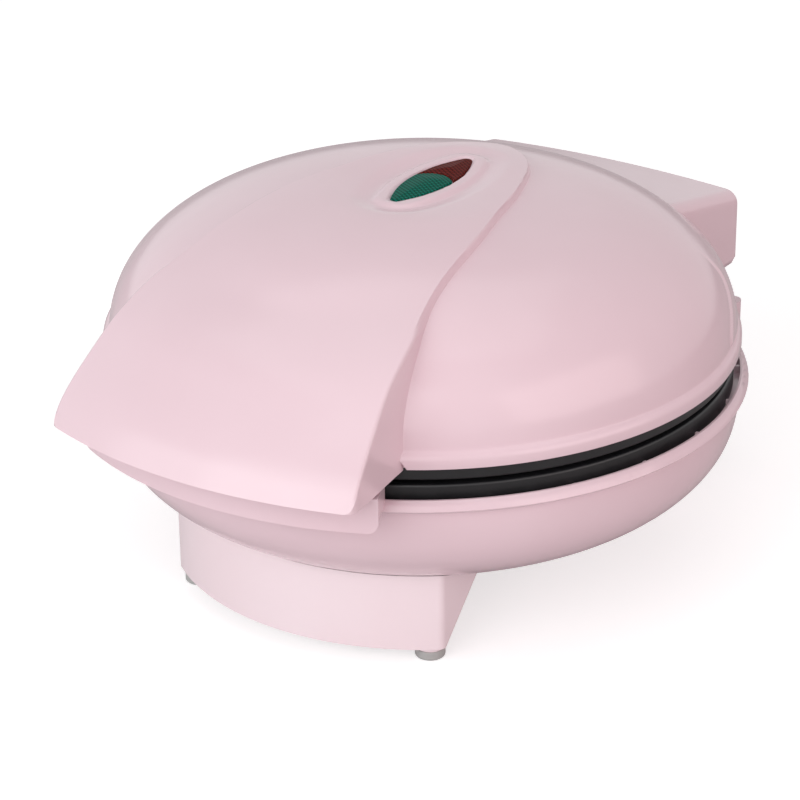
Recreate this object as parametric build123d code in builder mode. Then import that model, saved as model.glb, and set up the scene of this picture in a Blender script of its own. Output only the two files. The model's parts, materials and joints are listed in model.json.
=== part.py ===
from build123d import *
from math import cos, hypot, pi, radians, sin, sqrt
import os

os.makedirs("parts", exist_ok=True)

# Cupcake maker with a hinged, domed lid, lid closed. Millimetres.
# X to the right, Y to the back, Z up, and the table at Z = 0. The handle points to -Y.
# The origin is under the middle of the overall box, so the round body stands axis_y behind it.

# The cups drive the plates, the plates drive the round body, and the reach follows from that
cup_radius = 27.5           # of a cup's mouth
cup_wall = 2.5
cup_space = 2.0             # between neighbouring cups
cup_pitch = 2 * (cup_radius + cup_wall) + cup_space
plate_margin = 13.2         # of the plate, outside the ring of cups
plate_radius = cup_pitch + cup_radius + cup_wall + plate_margin
rim_gap = 2.2               # between the plate and the rim
rim_width = 2.9
plate_pocket = plate_radius + rim_gap           # inside of the rim, around the plates
rim_radius = plate_pocket + rim_width
grip_depth = 13.9           # of the grip, before the rim
handle_overhang = 10.8      # of the handle, before the grip
tower_depth = 14.7          # of the tower and the wing, behind the rim
grip_radius = rim_radius + grip_depth
handle_reach = grip_radius + handle_overhang    # from the axis to the middle of the handle's front
rear_reach = rim_radius + tower_depth           # from the axis to the flat rear faces
bush_flange = 1.8           # the inlet bush stands this far out of the tower
axis_y = (handle_reach - rear_reach - bush_flange) / 2

# Feet and stands
foot_radius = 5.0
foot_height = 3.2
foot_round = 0.8
foot_stem_radius = 2.5
foot_stem = 2.4
foot_seat_radius = 4.6      # of the round seats that the feet are pressed into
stand_set_in = 22.6         # of the stands' outer wall, from the rim
stand_radius = rim_radius - stand_set_in        # about the body's axis
foot_x = 46.9
foot_y = stand_radius - 20.7
stand_bottom_z = 4.8
stand_half_width = 53.5
stand_corner = 3.0
stand_inner_corner = 0.8
stand_wall = 2.4
stand_inner_top_z = 23.6
stand_inner_top_y = stand_radius - 39.3         # the slanted inner wall at that height
stand_inner_foot_y = stand_radius - 20.9        # where it meets the floor of the stand
rear_stand_narrower = 3.4   # the rear stand is this much narrower on each side
front_stand_top_z = 42.0    # the front stand's outer wall ends here
stand_gap = 0.15            # between a stand and the bowl it carries
stand_post_x = 26.0
stand_post_y = stand_radius - 14.2
stand_post_radius = 5.0
stand_boss = 12.0           # height of the bowl's bosses over that joint
stand_joint_z = 21.0        # where the stand's posts meet the bowl's bosses

# Bowl of the base
wall = 2.4
rim_overhang = 2.9          # of the rim, outside the bowl
bowl_radius = rim_radius - rim_overhang
bowl_top_z = 63.3           # widest circle of the bowl
bowl_depth = 48.3
bowl_side_power = 1.87
bowl_floor_power = 2.67
rim_bottom_z = 65.2
rim_top_z = 69.0
rim_edge = 0.9              # of the rim's lower outer corner
rim_slope = 2.2             # the rim's outer face leans in by this much
rim_slope_radius = 5.0
ledge_width = 5.5
ledge_thickness = 1.8
rib_count = 24
rib_thickness = 1.2
rib_set_down = 1.0

# Grip under the handle
grip_half_angle = 27.4
grip_bottom_z = 65.5
grip_top_z = 77.4
grip_end_wall = 5.0
grip_end_round = 3.6        # along the lower edge of either end
grip_corner = 1.2

# Rear tower, which carries the hinge and the cord inlet
tower_half_width = 57.3
tower_bottom_z = 30.0
tower_top_z = 59.2
tower_corner = 3.2
inlet_z = 44.0
inlet_radius = 3.6
inlet_inner_y = rim_radius - 20.3               # the inlet's hole ends here, inside the bowl
bush_radius = 5.4
bush_flange_radius = 7.6

# Cooking plates
plate_web = 3.0
plate_skirt = 3.0
plate_edge_round = 0.8
lower_skirt_height = 7.3    # from the lower plate's face down to its seat
plate_gap = 1.5             # between the closed plates
lower_face_z = 72.9
cup_count = 6               # around the middle one
cup_floor_radius = cup_radius - 8.5
cup_depth = 26.0
cup_floor_round = 4.0
dome_cup_radius = cup_radius - 0.5
dome_cup_top_radius = cup_radius - 5.5
dome_cup_depth = 9.5
dome_cup_round = 7.0

# Heating elements, their clips and their heat shields
element_set_in = 10.3       # of the element's middle, from the plate's edge
element_radius = plate_radius - element_set_in
element_tube = 3.25
element_gap_angle = 40.0
pin_radius = 1.4
pin_length = 9.0
clip_count = 3
clip_boss_r = element_radius - 9.9
clip_boss_radius = 4.0
clip_width = 9.0
clip_thickness = 0.8
shield_thickness = 0.8
shield_flange = 3.2
lower_shield_radius = plate_radius - 15.2
lower_shield_z = 38.0       # underside
upper_shield_radius = plate_radius - 10.2
upper_shield_z = 91.0       # underside
shield_boss_r = cup_pitch / sqrt(3)             # between three neighbouring cups
shield_boss_radius = 4.0
shield_hole_depth = 9.0     # of the screw holes in the shields' bosses
long_hole_depth = 14.0      # of the lower plate's holes, above its shield

# Lid cover
lid_radius = plate_radius + 2.3
lid_bottom_z = 79.0
lip_height = 5.4
lip_round = 2.8
lip_width = 2.1             # of the lip, outside the dome
dome_radius = lid_radius - lip_width
pocket_radius = plate_radius + 0.5              # inside of the lip, around the upper plate
dome_base_z = 82.5
dome_rise = 47.7
dome_side_power = 2.945
dome_top_power = 2.07
band_lift = 1.2             # the band stands this far out of the dome
band_tip_y = 52.0
handle_half_width = 58.2
handle_sag = 10.2           # the front edge's middle stands this far before its corners
handle_bottom_z = 78.4
handle_top_z = 129.9
handle_start = 60.0         # where the handle's slope begins, from the centre of its arcs
wing_half_width = 53.6
wing_bottom_z = 73.5
wing_edge_z = 99.8          # upper rear corners
wing_crown = 2.2
wing_slope = 0.2
wing_length = 85.0          # forward, into the dome
wing_corner = 5.0           # of its upper side edges
wing_round = 1.6            # of its rear edges
wing_heel_round = 4.0       # of its lower rear edge

# Lid frame, the inner moulding under the cover
frame_inner_radius = element_radius + element_tube + 1.05
frame_thickness = 2.6
frame_clearance = 0.3
lug_clearance = 0.6          # of the lugs above the element
lug_thickness = 2.6
lug_width = 12.0
lug_count = 3
cover_screw_front = (40.0, 24.0 - handle_reach)
cover_screw_rear = (43.0, rear_reach - 12.0)
cover_boss_wall = 2.6
cover_screw = 10.0          # length of a cover screw
cover_pad_radius = 5.5
cover_pad_height = 5.0

# Hinge
hinge_y = rear_reach - 6.0
hinge_z = 67.0
stop_y = hinge_y + 5.8      # rear faces of the shoulders that stop the open lid
stop_top_z = hinge_z - 3.4
hinge_pin_radius = 2.0
hinge_clearance = 0.05      # of the pin in the base's ears
ear_radius = 5.5
ear_inner_x = 34.0
ear_thickness = 5.0
knuckle_gap = 0.4
pin_head_radius = 3.4
pin_head = 1.2

# Signal lamps
lens_length = 46.0          # between the points of the oval, before they are rounded
lens_half_width = 7.6
lens_tip_round = 2.5
lens_y = 6.5
lens_split_y = 14.0         # the green lens ends here in a round arc
lens_split_radius = 9.5
lens_stand = 0.7            # above the band
lens_clearance = 0.2
lens_flange = 1.5
lens_flange_height = 1.6
lens_recess_side = 2.7      # width of the shallow recess, beside the lenses
lens_recess_end = 5.5       # and beyond their points
lens_recess_round = 7.0
lens_recess_depth = 0.8
lens_height = 30.0          # of the cutting solids for the lenses
lamp_radius = 3.0
lamp_length = 10.5
lamp_pitch = 16.0
lamp_plate_z = 112.0
lamp_plate_thickness = 2.0
lamp_boss_x = 15.0

# Wiring pieces
terminal_length = 34.0
terminal_width = 14.0
terminal_height = 12.0
terminal_pitch = 26.0
terminal_seat_z = 19.5
thermostat_radius = 6.5
thermostat_height = 8.5
thermostat_stud_radius = 2.0
thermostat_boss = 3.0
thermostat_angle = 210.0
fuse_radius = 2.2
fuse_length = 22.0
fuse_y = 10.0 - lower_shield_radius
fuse_clip_wall = 0.6
fuse_clip_width = 6.0

# Fasteners
screw_radius = 1.6
screw_head_radius = 3.0
screw_head = 2.2
short_screw = 8.0
long_screw_radius = 2.0
long_screw_head_radius = 3.8
long_screw_head = 2.6
post_radius = 6.2
post_seat_z = 29.0
screw_clearance = 0.2       # of a screw in its hole
head_clearance = 0.4        # of a head in its sunk seat
stand_screw_seat = 3.0      # thickness under the head of a stand screw
clip_screw = 6.0            # length of a clip screw in its clip and boss


def level(z):
    """Horizontal plane at height z, its origin on the round body's axis."""
    return Plane(origin=(0, axis_y, z))


upright = Axis((0, axis_y, 0), (0, 0, 1))
section = Plane(origin=(0, axis_y, 0), x_dir=(1, 0, 0), z_dir=(0, -1, 0))


def side(x):
    """Vertical plane across X at x, with local X to the back and local Y up."""
    return Plane(origin=(x, axis_y, 0), x_dir=(0, 1, 0), z_dir=(1, 0, 0))


def rounded(radius, start_z, rise, side_power, end_power, steps=12):
    """Points of a rounded shell's section, from its pole to its widest circle."""
    points = []
    for i in range(steps + 1):
        u = sin(pi / 2 * (1 - i / steps))
        points.append((radius * (1 - u**end_power) ** (1 / side_power), start_z + rise * u))
    return points


def shell_line(radius, start_z, rise, side_power, end_power):
    """Spline along such a section, level at the pole and upright at the widest circle."""
    points = rounded(radius, start_z, rise, side_power, end_power)
    turn = -1 if rise > 0 else 1
    return Spline(points, tangents=[(1, 0), (0, turn)])


# Base housing: bowl, rim, grip, tower and ears

seat_z = lower_face_z - lower_skirt_height      # underside of the lower plate's skirt
bowl_inner_radius = bowl_radius - wall

with BuildPart() as bowl_outside:
    with BuildSketch(section):
        with BuildLine():
            shell_line(bowl_radius, bowl_top_z, -bowl_depth, bowl_side_power, bowl_floor_power)
            Polyline(
                (bowl_radius, bowl_top_z),
                (bowl_radius, rim_bottom_z - rim_edge),
                (rim_radius - rim_edge, rim_bottom_z),
                (rim_radius, rim_bottom_z + rim_edge),
            )
            RadiusArc(
                (rim_radius, rim_bottom_z + rim_edge),
                (rim_radius - rim_slope, rim_top_z),
                -rim_slope_radius,
            )
            Polyline(
                (rim_radius - rim_slope, rim_top_z), (0, rim_top_z), (0, bowl_top_z - bowl_depth)
            )
        make_face()
    revolve(axis=upright)

with BuildPart() as bowl_inside:
    with BuildSketch(section):
        with BuildLine():
            shell_line(
                bowl_inner_radius, bowl_top_z, wall - bowl_depth, bowl_side_power, bowl_floor_power
            )
            Polyline(
                (bowl_inner_radius, bowl_top_z),
                (plate_pocket - ledge_width, seat_z - ledge_thickness),
                (plate_pocket - ledge_width, seat_z),
                (plate_pocket, seat_z),
                (plate_pocket, rim_top_z + 1),
                (0, rim_top_z + 1),
                (0, bowl_top_z - bowl_depth + wall),
            )
        make_face()
    revolve(axis=upright)

with BuildPart() as tower_outside:
    with BuildSketch(level(tower_bottom_z)):
        with Locations((0, rear_reach / 2)):
            Rectangle(2 * tower_half_width, rear_reach)
    extrude(amount=tower_top_z - tower_bottom_z)
    fillet(tower_outside.edges().filter_by(Axis.Z).group_by(Axis.Y)[-1], tower_corner)

with BuildPart() as tower_inside:
    with BuildSketch(level(tower_bottom_z + wall)):
        with Locations((0, rear_reach / 2 - wall)):
            Rectangle(2 * (tower_half_width - wall), rear_reach)
    extrude(amount=tower_top_z - tower_bottom_z)
    fillet(tower_inside.edges().filter_by(Axis.Z).group_by(Axis.Y)[-1], tower_corner - wall)
    add(bowl_outside.part, mode=Mode.SUBTRACT)



def grip_sector(inset):
    """Plan of the grip's two radial ends, set in, as a wedge from the axis outwards."""
    reach = 2 * grip_radius
    turn = radians(grip_half_angle)
    tip = -inset / sin(turn)
    with BuildSketch() as plan:
        Polygon(
            (0, tip),
            (-reach * sin(turn), tip - reach * cos(turn)),
            (reach * sin(turn), tip - reach * cos(turn)),
            align=None,
        )
    return plan.sketch


grip_outline = grip_sector(0)
grip_inner_outline = grip_sector(grip_end_wall)

with BuildPart() as grip_outside:
    with BuildSketch(level(grip_bottom_z)):
        Circle(grip_radius)
        add(grip_outline, mode=Mode.INTERSECT)
    extrude(amount=grip_top_z - grip_bottom_z)
    fillet(
        grip_outside.edges().filter_by(GeomType.LINE).group_by(Axis.Z)[0], grip_end_round
    )

with BuildPart() as grip_inside:
    with BuildSketch(level(grip_bottom_z)):
        Circle(grip_radius - wall)
        add(grip_inner_outline, mode=Mode.INTERSECT)
        Circle(rim_radius, mode=Mode.SUBTRACT)
    extrude(amount=grip_top_z - grip_bottom_z - wall)

with BuildPart() as base_housing:
    add(bowl_outside.part)
    add(tower_outside.part)
    add(grip_outside.part)
    add(grip_inside.part, mode=Mode.SUBTRACT)
    add(tower_inside.part, mode=Mode.SUBTRACT)
    add(bowl_inside.part, mode=Mode.SUBTRACT)
    with BuildSketch(level(rim_top_z)):
        Circle(plate_pocket)
    extrude(amount=grip_top_z - rim_top_z + 1, mode=Mode.SUBTRACT)
    # locating ribs between the rim and the lower plate
    with BuildSketch(level(seat_z)):
        with PolarLocations(plate_radius + frame_clearance, rib_count):
            Rectangle(
                rim_radius - rim_width / 2 - plate_radius,
                rib_thickness,
                align=(Align.MIN, Align.CENTER),
            )
    extrude(amount=rim_top_z - rib_set_down - seat_z)
    # posts that the lower plate is screwed down to
    with BuildSketch(level(bowl_top_z - bowl_depth + wall / 2)):
        with PolarLocations(shield_boss_r, 3, start_angle=30):
            Circle(post_radius)
    extrude(amount=lower_shield_z - (bowl_top_z - bowl_depth + wall / 2))
    with BuildSketch(level(0)):
        with PolarLocations(shield_boss_r, 3, start_angle=30):
            Circle(long_screw_head_radius + head_clearance)
    extrude(amount=post_seat_z, mode=Mode.SUBTRACT)
    with BuildSketch(level(post_seat_z)):
        with PolarLocations(shield_boss_r, 3, start_angle=30):
            Circle(long_screw_radius + screw_clearance)
    extrude(amount=lower_shield_z - post_seat_z, mode=Mode.SUBTRACT)
    # seats of the terminal block
    with BuildSketch(level(bowl_top_z - bowl_depth + wall / 2)):
        with GridLocations(terminal_pitch, 1, 2, 1):
            Circle(screw_radius + 2.4)
    extrude(amount=terminal_seat_z - (bowl_top_z - bowl_depth + wall / 2))
    with BuildSketch(level(terminal_seat_z)):
        with GridLocations(terminal_pitch, 1, 2, 1):
            Circle(screw_radius)
    extrude(amount=bowl_top_z - bowl_depth + wall / 2 - terminal_seat_z, mode=Mode.SUBTRACT)
    # bosses that the stands are screwed to
    with BuildSketch(level(stand_joint_z)):
        with GridLocations(2 * stand_post_x, 2 * stand_post_y, 2, 2):
            Circle(stand_post_radius)
    extrude(amount=stand_boss)
    with BuildSketch(level(stand_joint_z)):
        with GridLocations(2 * stand_post_x, 2 * stand_post_y, 2, 2):
            Circle(screw_radius)
    extrude(amount=short_screw + 1, mode=Mode.SUBTRACT)
    # ears of the hinge, with the shoulders that the open lid's wing comes to rest on
    for x in (ear_inner_x, -ear_inner_x - ear_thickness):
        with BuildSketch(side(x)):
            with Locations((hinge_y, hinge_z)):
                Circle(ear_radius)
            with BuildLine():
                Polyline(
                    (hinge_y - ear_radius, hinge_z),
                    (hinge_y - ear_radius, tower_bottom_z + wall / 2),
                    (rear_reach - wall, tower_bottom_z + wall / 2),
                    (rear_reach - wall, tower_top_z - 1),
                    (stop_y, tower_top_z - 1),
                    (stop_y, stop_top_z),
                    (hinge_y, hinge_z),
                    close=True,
                )
            make_face()
        extrude(amount=ear_thickness)
    with BuildSketch(side(-tower_half_width)):
        with Locations((hinge_y, hinge_z)):
            Circle(hinge_pin_radius + hinge_clearance)
    extrude(amount=2 * tower_half_width, mode=Mode.SUBTRACT)
    # hole of the cord inlet, through the tower's wall and on through the bowl's
    with BuildSketch(Plane.XZ.offset(-axis_y - rear_reach - 1)):
        with Locations((0, inlet_z)):
            Circle(bush_radius)
    extrude(amount=rear_reach - inlet_inner_y, mode=Mode.SUBTRACT)
base_housing.part.label = "base_housing"
export_step(base_housing.part, "parts/base_housing.step")

# Stands: hollow mouldings under the bowl, front and rear, on rubber feet

with BuildPart() as bowl_clear:
    with BuildSketch(section):
        with BuildLine():
            shell_line(
                bowl_radius + stand_gap,
                bowl_top_z,
                -bowl_depth - stand_gap,
                bowl_side_power,
                bowl_floor_power,
            )
            Polyline(
                (bowl_radius + stand_gap, bowl_top_z),
                (0, bowl_top_z),
                (0, bowl_top_z - bowl_depth - stand_gap),
            )
        make_face()
    revolve(axis=upright)

stand_slope = (stand_inner_foot_y - stand_inner_top_y) / (stand_inner_top_z - stand_bottom_z)


def inner_wall_y(z):
    """Distance of the stand's slanted inner wall from the body's axis at height z."""
    return stand_inner_foot_y - stand_slope * (z - stand_bottom_z)


def stand_section(towards, inset, top_z):
    """Section of one stand: its slanted inner wall, set in, and the space out to the rim."""
    low_z = stand_bottom_z + inset
    return [
        (towards * (inner_wall_y(low_z) + 1.4 * inset), low_z),
        (towards * (inner_wall_y(top_z) + 1.4 * inset), top_z),
        (towards * (stand_radius + 5), top_z),
        (towards * (stand_radius + 5), low_z),
    ]


def stand_form(half_width, top_z, towards, inset):
    """Outer form of one stand, or its hollow when inset by the wall."""
    with BuildPart() as form:
        with BuildSketch(level(stand_bottom_z + inset)):
            Circle(stand_radius - inset)
            Rectangle(2 * (half_width - inset), 2 * stand_radius, mode=Mode.INTERSECT)
        extrude(amount=top_z - stand_bottom_z)
        with BuildSketch(side(-half_width - 1)):
            Polygon(*stand_section(towards, inset, top_z), align=None)
        extrude(amount=2 * half_width + 2, mode=Mode.INTERSECT)
        fillet(form.edges().filter_by(Axis.Z), stand_corner - inset)
        if inset == 0:
            slanted_edges = form.edges().filter_by(
                lambda e: e.geom_type == GeomType.LINE
                and 0.5 < abs((e @ 1 - e @ 0).normalized().Z) < 0.99
            )
            fillet(slanted_edges, stand_inner_corner)
    return form.part


def stand(half_width, top_z, towards):
    """One stand, its outer wall towards -Y (-1) or +Y (1), with its post and foot holes."""
    outer_form = stand_form(half_width, top_z, towards, 0)
    hollow_form = stand_form(half_width, top_z + wall, towards, stand_wall)
    post_places = [(x, towards * stand_post_y) for x in (-stand_post_x, stand_post_x)]
    foot_inset = stand_half_width - half_width
    foot_places = [(x, towards * foot_y) for x in (foot_inset - foot_x, foot_x - foot_inset)]
    with BuildPart() as body:
        add(outer_form)
        add(hollow_form, mode=Mode.SUBTRACT)
        with BuildSketch(level(stand_bottom_z)):
            with Locations(*post_places):
                Circle(stand_post_radius)
        extrude(amount=stand_joint_z - stand_bottom_z)
        with BuildSketch(level(stand_bottom_z)):
            with Locations(*post_places):
                Circle(screw_head_radius + head_clearance)
        extrude(amount=stand_joint_z - stand_bottom_z - stand_screw_seat, mode=Mode.SUBTRACT)
        with BuildSketch(level(stand_bottom_z)):
            with Locations(*post_places):
                Circle(screw_radius + screw_clearance)
        extrude(amount=stand_joint_z, mode=Mode.SUBTRACT)
        # round seats of the feet
        with BuildSketch(level(foot_height)):
            with Locations(*foot_places):
                Circle(foot_seat_radius)
        extrude(amount=stand_bottom_z + stand_wall - foot_height)
        with BuildSketch(level(foot_height)):
            with Locations(*foot_places):
                Circle(foot_stem_radius)
        extrude(amount=foot_stem, mode=Mode.SUBTRACT)
        add(bowl_clear.part, mode=Mode.SUBTRACT)
    return body.part


front_stand_form = stand(stand_half_width, front_stand_top_z, -1)

with BuildPart() as front_stand:
    add(front_stand_form)
front_stand.part.label = "front_stand"
export_step(front_stand.part, "parts/front_stand.step")

rear_stand_half_width = stand_half_width - rear_stand_narrower
rear_stand_form = stand(rear_stand_half_width, tower_bottom_z - stand_gap, 1)

with BuildPart() as rear_stand:
    add(rear_stand_form)
rear_stand.part.label = "rear_stand"
export_step(rear_stand.part, "parts/rear_stand.step")

foot_places = [
    (x, y)
    for y, half in ((-foot_y, foot_x), (foot_y, foot_x - rear_stand_narrower))
    for x in (-half, half)
]

with BuildPart() as rubber_feet:
    with BuildSketch(level(0)):
        with Locations(*foot_places):
            Circle(foot_radius)
    extrude(amount=foot_height)
    fillet(rubber_feet.edges().group_by(Axis.Z)[0], foot_round)
    with BuildSketch(level(foot_height)):
        with Locations(*foot_places):
            Circle(foot_stem_radius)
    extrude(amount=foot_stem)
rubber_feet.part.label = "rubber_feet"
export_step(rubber_feet.part, "parts/rubber_feet.step")

with BuildPart() as stand_screws:
    with BuildSketch(level(stand_joint_z - stand_screw_seat)):
        with GridLocations(2 * stand_post_x, 2 * stand_post_y, 2, 2):
            Circle(screw_head_radius)
    extrude(amount=-screw_head)
    with BuildSketch(level(stand_joint_z - stand_screw_seat)):
        with GridLocations(2 * stand_post_x, 2 * stand_post_y, 2, 2):
            Circle(screw_radius)
    extrude(amount=short_screw + stand_screw_seat)
stand_screws.part.label = "stand_screws"
export_step(stand_screws.part, "parts/stand_screws.step")

# Lower plate: seven deep cups in a web with a skirt, and bosses for its screws

ring_places = [
    (cup_pitch * cos(2 * pi * i / cup_count), cup_pitch * sin(2 * pi * i / cup_count))
    for i in range(cup_count)
]
cup_places = [(0, 0)] + ring_places
web_z = lower_face_z - plate_web
upper_face_z = lower_face_z + plate_gap
upper_web_z = upper_face_z + plate_web
lug_z = upper_web_z + 2 * element_tube + lug_clearance


def turned(points, corner, corner_radius):
    """Solid turned about the round body's axis, one corner of its section rounded."""
    with BuildPart() as body:
        with BuildSketch(section) as outline:
            Polygon(*points, align=None)
            at = outline.vertices().sort_by_distance((corner[0], corner[1], 0))[0]
            fillet(at, corner_radius)
        revolve(axis=upright)
    return body.part


cup_hollow = turned(
    [
        (0, lower_face_z - cup_depth),
        (cup_floor_radius, lower_face_z - cup_depth),
        (cup_radius, lower_face_z),
        (cup_radius, lower_face_z + 1),
        (0, lower_face_z + 1),
    ],
    (cup_floor_radius, lower_face_z - cup_depth),
    cup_floor_round,
)
cup_shell = turned(
    [
        (0, lower_face_z - cup_depth - cup_wall),
        (cup_floor_radius + cup_wall, lower_face_z - cup_depth - cup_wall),
        (cup_radius + cup_wall, lower_face_z - 1),
        (0, lower_face_z - 1),
    ],
    (cup_floor_radius + cup_wall, lower_face_z - cup_depth - cup_wall),
    cup_floor_round + cup_wall,
)
dome_hollow = turned(
    [
        (0, upper_face_z - 1),
        (dome_cup_radius, upper_face_z - 1),
        (dome_cup_radius, upper_face_z),
        (dome_cup_top_radius, upper_face_z + dome_cup_depth),
        (0, upper_face_z + dome_cup_depth),
    ],
    (dome_cup_top_radius, upper_face_z + dome_cup_depth),
    dome_cup_round,
)
dome_shell = turned(
    [
        (0, upper_face_z + 1),
        (dome_cup_radius + cup_wall, upper_face_z + 1),
        (dome_cup_top_radius + cup_wall, upper_face_z + dome_cup_depth + cup_wall),
        (0, upper_face_z + dome_cup_depth + cup_wall),
    ],
    (dome_cup_top_radius + cup_wall, upper_face_z + dome_cup_depth + cup_wall),
    dome_cup_round + cup_wall - 0.5,
)

lower_clip_z = web_z - 2 * element_tube         # underside of the element and the bosses
clip_angles = [30 + 360 / clip_count * i for i in range(clip_count)]

with BuildPart() as lower_plate:
    with BuildSketch(level(seat_z)):
        Circle(plate_radius)
        Circle(plate_radius - plate_skirt, mode=Mode.SUBTRACT)
    extrude(amount=lower_face_z - seat_z)
    with BuildSketch(level(web_z)):
        Circle(plate_radius)
    extrude(amount=plate_web)
    face_edges = lower_plate.edges().filter_by(GeomType.CIRCLE).group_by(Axis.Z)[-1]
    fillet(face_edges.sort_by(SortBy.RADIUS)[-1], plate_edge_round)
    for x, y in cup_places:
        add(cup_shell.moved(Location((x, y, 0))))
    with BuildSketch(level(lower_shield_z + shield_thickness)):
        with PolarLocations(shield_boss_r, 6, start_angle=30):
            Circle(shield_boss_radius)
    extrude(amount=web_z - lower_shield_z)
    with BuildSketch(level(lower_clip_z)):
        with PolarLocations(clip_boss_r, clip_count, start_angle=30):
            Circle(clip_boss_radius)
    extrude(amount=web_z - lower_clip_z + 1)
    with BuildSketch(level(web_z - thermostat_boss)):
        with PolarLocations(clip_boss_r, 1, start_angle=thermostat_angle):
            Circle(thermostat_radius)
    extrude(amount=thermostat_boss + 1)
    for x, y in cup_places:
        add(cup_hollow.moved(Location((x, y, 0))), mode=Mode.SUBTRACT)
    with BuildSketch(level(lower_shield_z)):
        with PolarLocations(shield_boss_r, 3, start_angle=30):
            Circle(long_screw_radius)
        with PolarLocations(shield_boss_r, 3, start_angle=90):
            Circle(screw_radius)
    extrude(amount=shield_thickness + long_hole_depth, mode=Mode.SUBTRACT)
    with BuildSketch(level(lower_clip_z)):
        with PolarLocations(clip_boss_r, clip_count, start_angle=30):
            Circle(screw_radius)
    extrude(amount=clip_screw, mode=Mode.SUBTRACT)
    with BuildSketch(level(web_z - thermostat_boss)):
        with PolarLocations(clip_boss_r, 1, start_angle=thermostat_angle):
            Circle(thermostat_stud_radius)
    extrude(amount=thermostat_boss + 1.5, mode=Mode.SUBTRACT)
lower_plate.part.label = "lower_plate"
export_step(lower_plate.part, "parts/lower_plate.step")

with BuildPart() as upper_plate:
    with BuildSketch(level(upper_face_z)):
        Circle(plate_radius)
        Circle(plate_radius - plate_skirt, mode=Mode.SUBTRACT)
    extrude(amount=lid_bottom_z - upper_face_z)
    with BuildSketch(level(upper_face_z)):
        Circle(plate_radius)
    extrude(amount=plate_web)
    face_edges = upper_plate.edges().filter_by(GeomType.CIRCLE).group_by(Axis.Z)[0]
    fillet(face_edges.sort_by(SortBy.RADIUS)[-1], plate_edge_round)
    for x, y in cup_places:
        add(dome_shell.moved(Location((x, y, 0))))
    # bosses for the heat shield, the frame's lugs and the element's clips
    with BuildSketch(level(upper_web_z - 1)):
        with PolarLocations(shield_boss_r, 3, start_angle=30):
            Circle(shield_boss_radius)
    extrude(amount=upper_shield_z - upper_web_z + 1)
    with BuildSketch(level(upper_web_z - 1)):
        with PolarLocations(clip_boss_r, lug_count, start_angle=90):
            Circle(clip_boss_radius)
    extrude(amount=lug_z - upper_web_z + 1)
    with BuildSketch(level(upper_web_z - 1)):
        with PolarLocations(clip_boss_r, clip_count, start_angle=30):
            Circle(clip_boss_radius)
    extrude(amount=2 * element_tube + 1)
    for x, y in cup_places:
        add(dome_hollow.moved(Location((x, y, 0))), mode=Mode.SUBTRACT)
    with BuildSketch(level(upper_shield_z)):
        with PolarLocations(shield_boss_r, 3, start_angle=30):
            Circle(screw_radius)
    extrude(amount=-shield_hole_depth, mode=Mode.SUBTRACT)
    with BuildSketch(level(lug_z)):
        with PolarLocations(clip_boss_r, 6, start_angle=30):
            Circle(screw_radius)
    extrude(amount=-clip_screw, mode=Mode.SUBTRACT)
upper_plate.part.label = "upper_plate"
export_step(upper_plate.part, "parts/upper_plate.step")

# Tubular heating elements, each an open ring with a contact pin at either end

end_angle = 90 - element_gap_angle / 2


def element(z):
    """Element ring at height z, open towards the back, its pins running on along the tangent."""
    with BuildPart() as body:
        start = Plane(
            origin=(
                element_radius * cos(radians(180 - end_angle)),
                axis_y + element_radius * sin(radians(180 - end_angle)),
                z,
            ),
            x_dir=(cos(radians(180 - end_angle)), sin(radians(180 - end_angle)), 0),
            z_dir=(-sin(radians(180 - end_angle)), cos(radians(180 - end_angle)), 0),
        )
        end = Plane(
            origin=(
                element_radius * cos(radians(end_angle)),
                axis_y + element_radius * sin(radians(end_angle)),
                z,
            ),
            x_dir=(cos(radians(end_angle)), sin(radians(end_angle)), 0),
            z_dir=(-sin(radians(end_angle)), cos(radians(end_angle)), 0),
        )
        with BuildSketch(start):
            Circle(element_tube)
        revolve(axis=upright, revolution_arc=360 - element_gap_angle)
        with BuildSketch(start):
            Circle(pin_radius)
        extrude(amount=-pin_length)
        with BuildSketch(end):
            Circle(pin_radius)
        extrude(amount=pin_length)
    return body.part


with BuildPart() as lower_heating_element:
    add(element(web_z - element_tube))
lower_heating_element.part.label = "lower_heating_element"
export_step(lower_heating_element.part, "parts/lower_heating_element.step")

with BuildPart() as upper_heating_element:
    add(element(upper_web_z + element_tube))
upper_heating_element.part.label = "upper_heating_element"
export_step(upper_heating_element.part, "parts/upper_heating_element.step")

# Element clips, heat shields and the screws that hold them


def strap(angle):
    """Outline of one clip, from its boss out over the element."""
    with BuildSketch() as flat:
        with PolarLocations(clip_boss_r - clip_boss_radius, 1, start_angle=angle):
            Rectangle(
                element_radius + element_tube / 2 - clip_boss_r + clip_boss_radius,
                clip_width,
                align=(Align.MIN, Align.CENTER),
            )
        with PolarLocations(clip_boss_r, 1, start_angle=angle):
            Circle(screw_radius + screw_clearance, mode=Mode.SUBTRACT)
    return flat.sketch


with BuildPart() as lower_element_clips:
    with BuildSketch(level(lower_clip_z)):
        for angle in clip_angles:
            add(strap(angle))
    extrude(amount=-clip_thickness)
lower_element_clips.part.label = "lower_element_clips"
export_step(lower_element_clips.part, "parts/lower_element_clips.step")

with BuildPart() as upper_element_clips:
    with BuildSketch(level(upper_web_z + 2 * element_tube)):
        for angle in clip_angles:
            add(strap(angle))
    extrude(amount=clip_thickness)
upper_element_clips.part.label = "upper_element_clips"
export_step(upper_element_clips.part, "parts/upper_element_clips.step")

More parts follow.
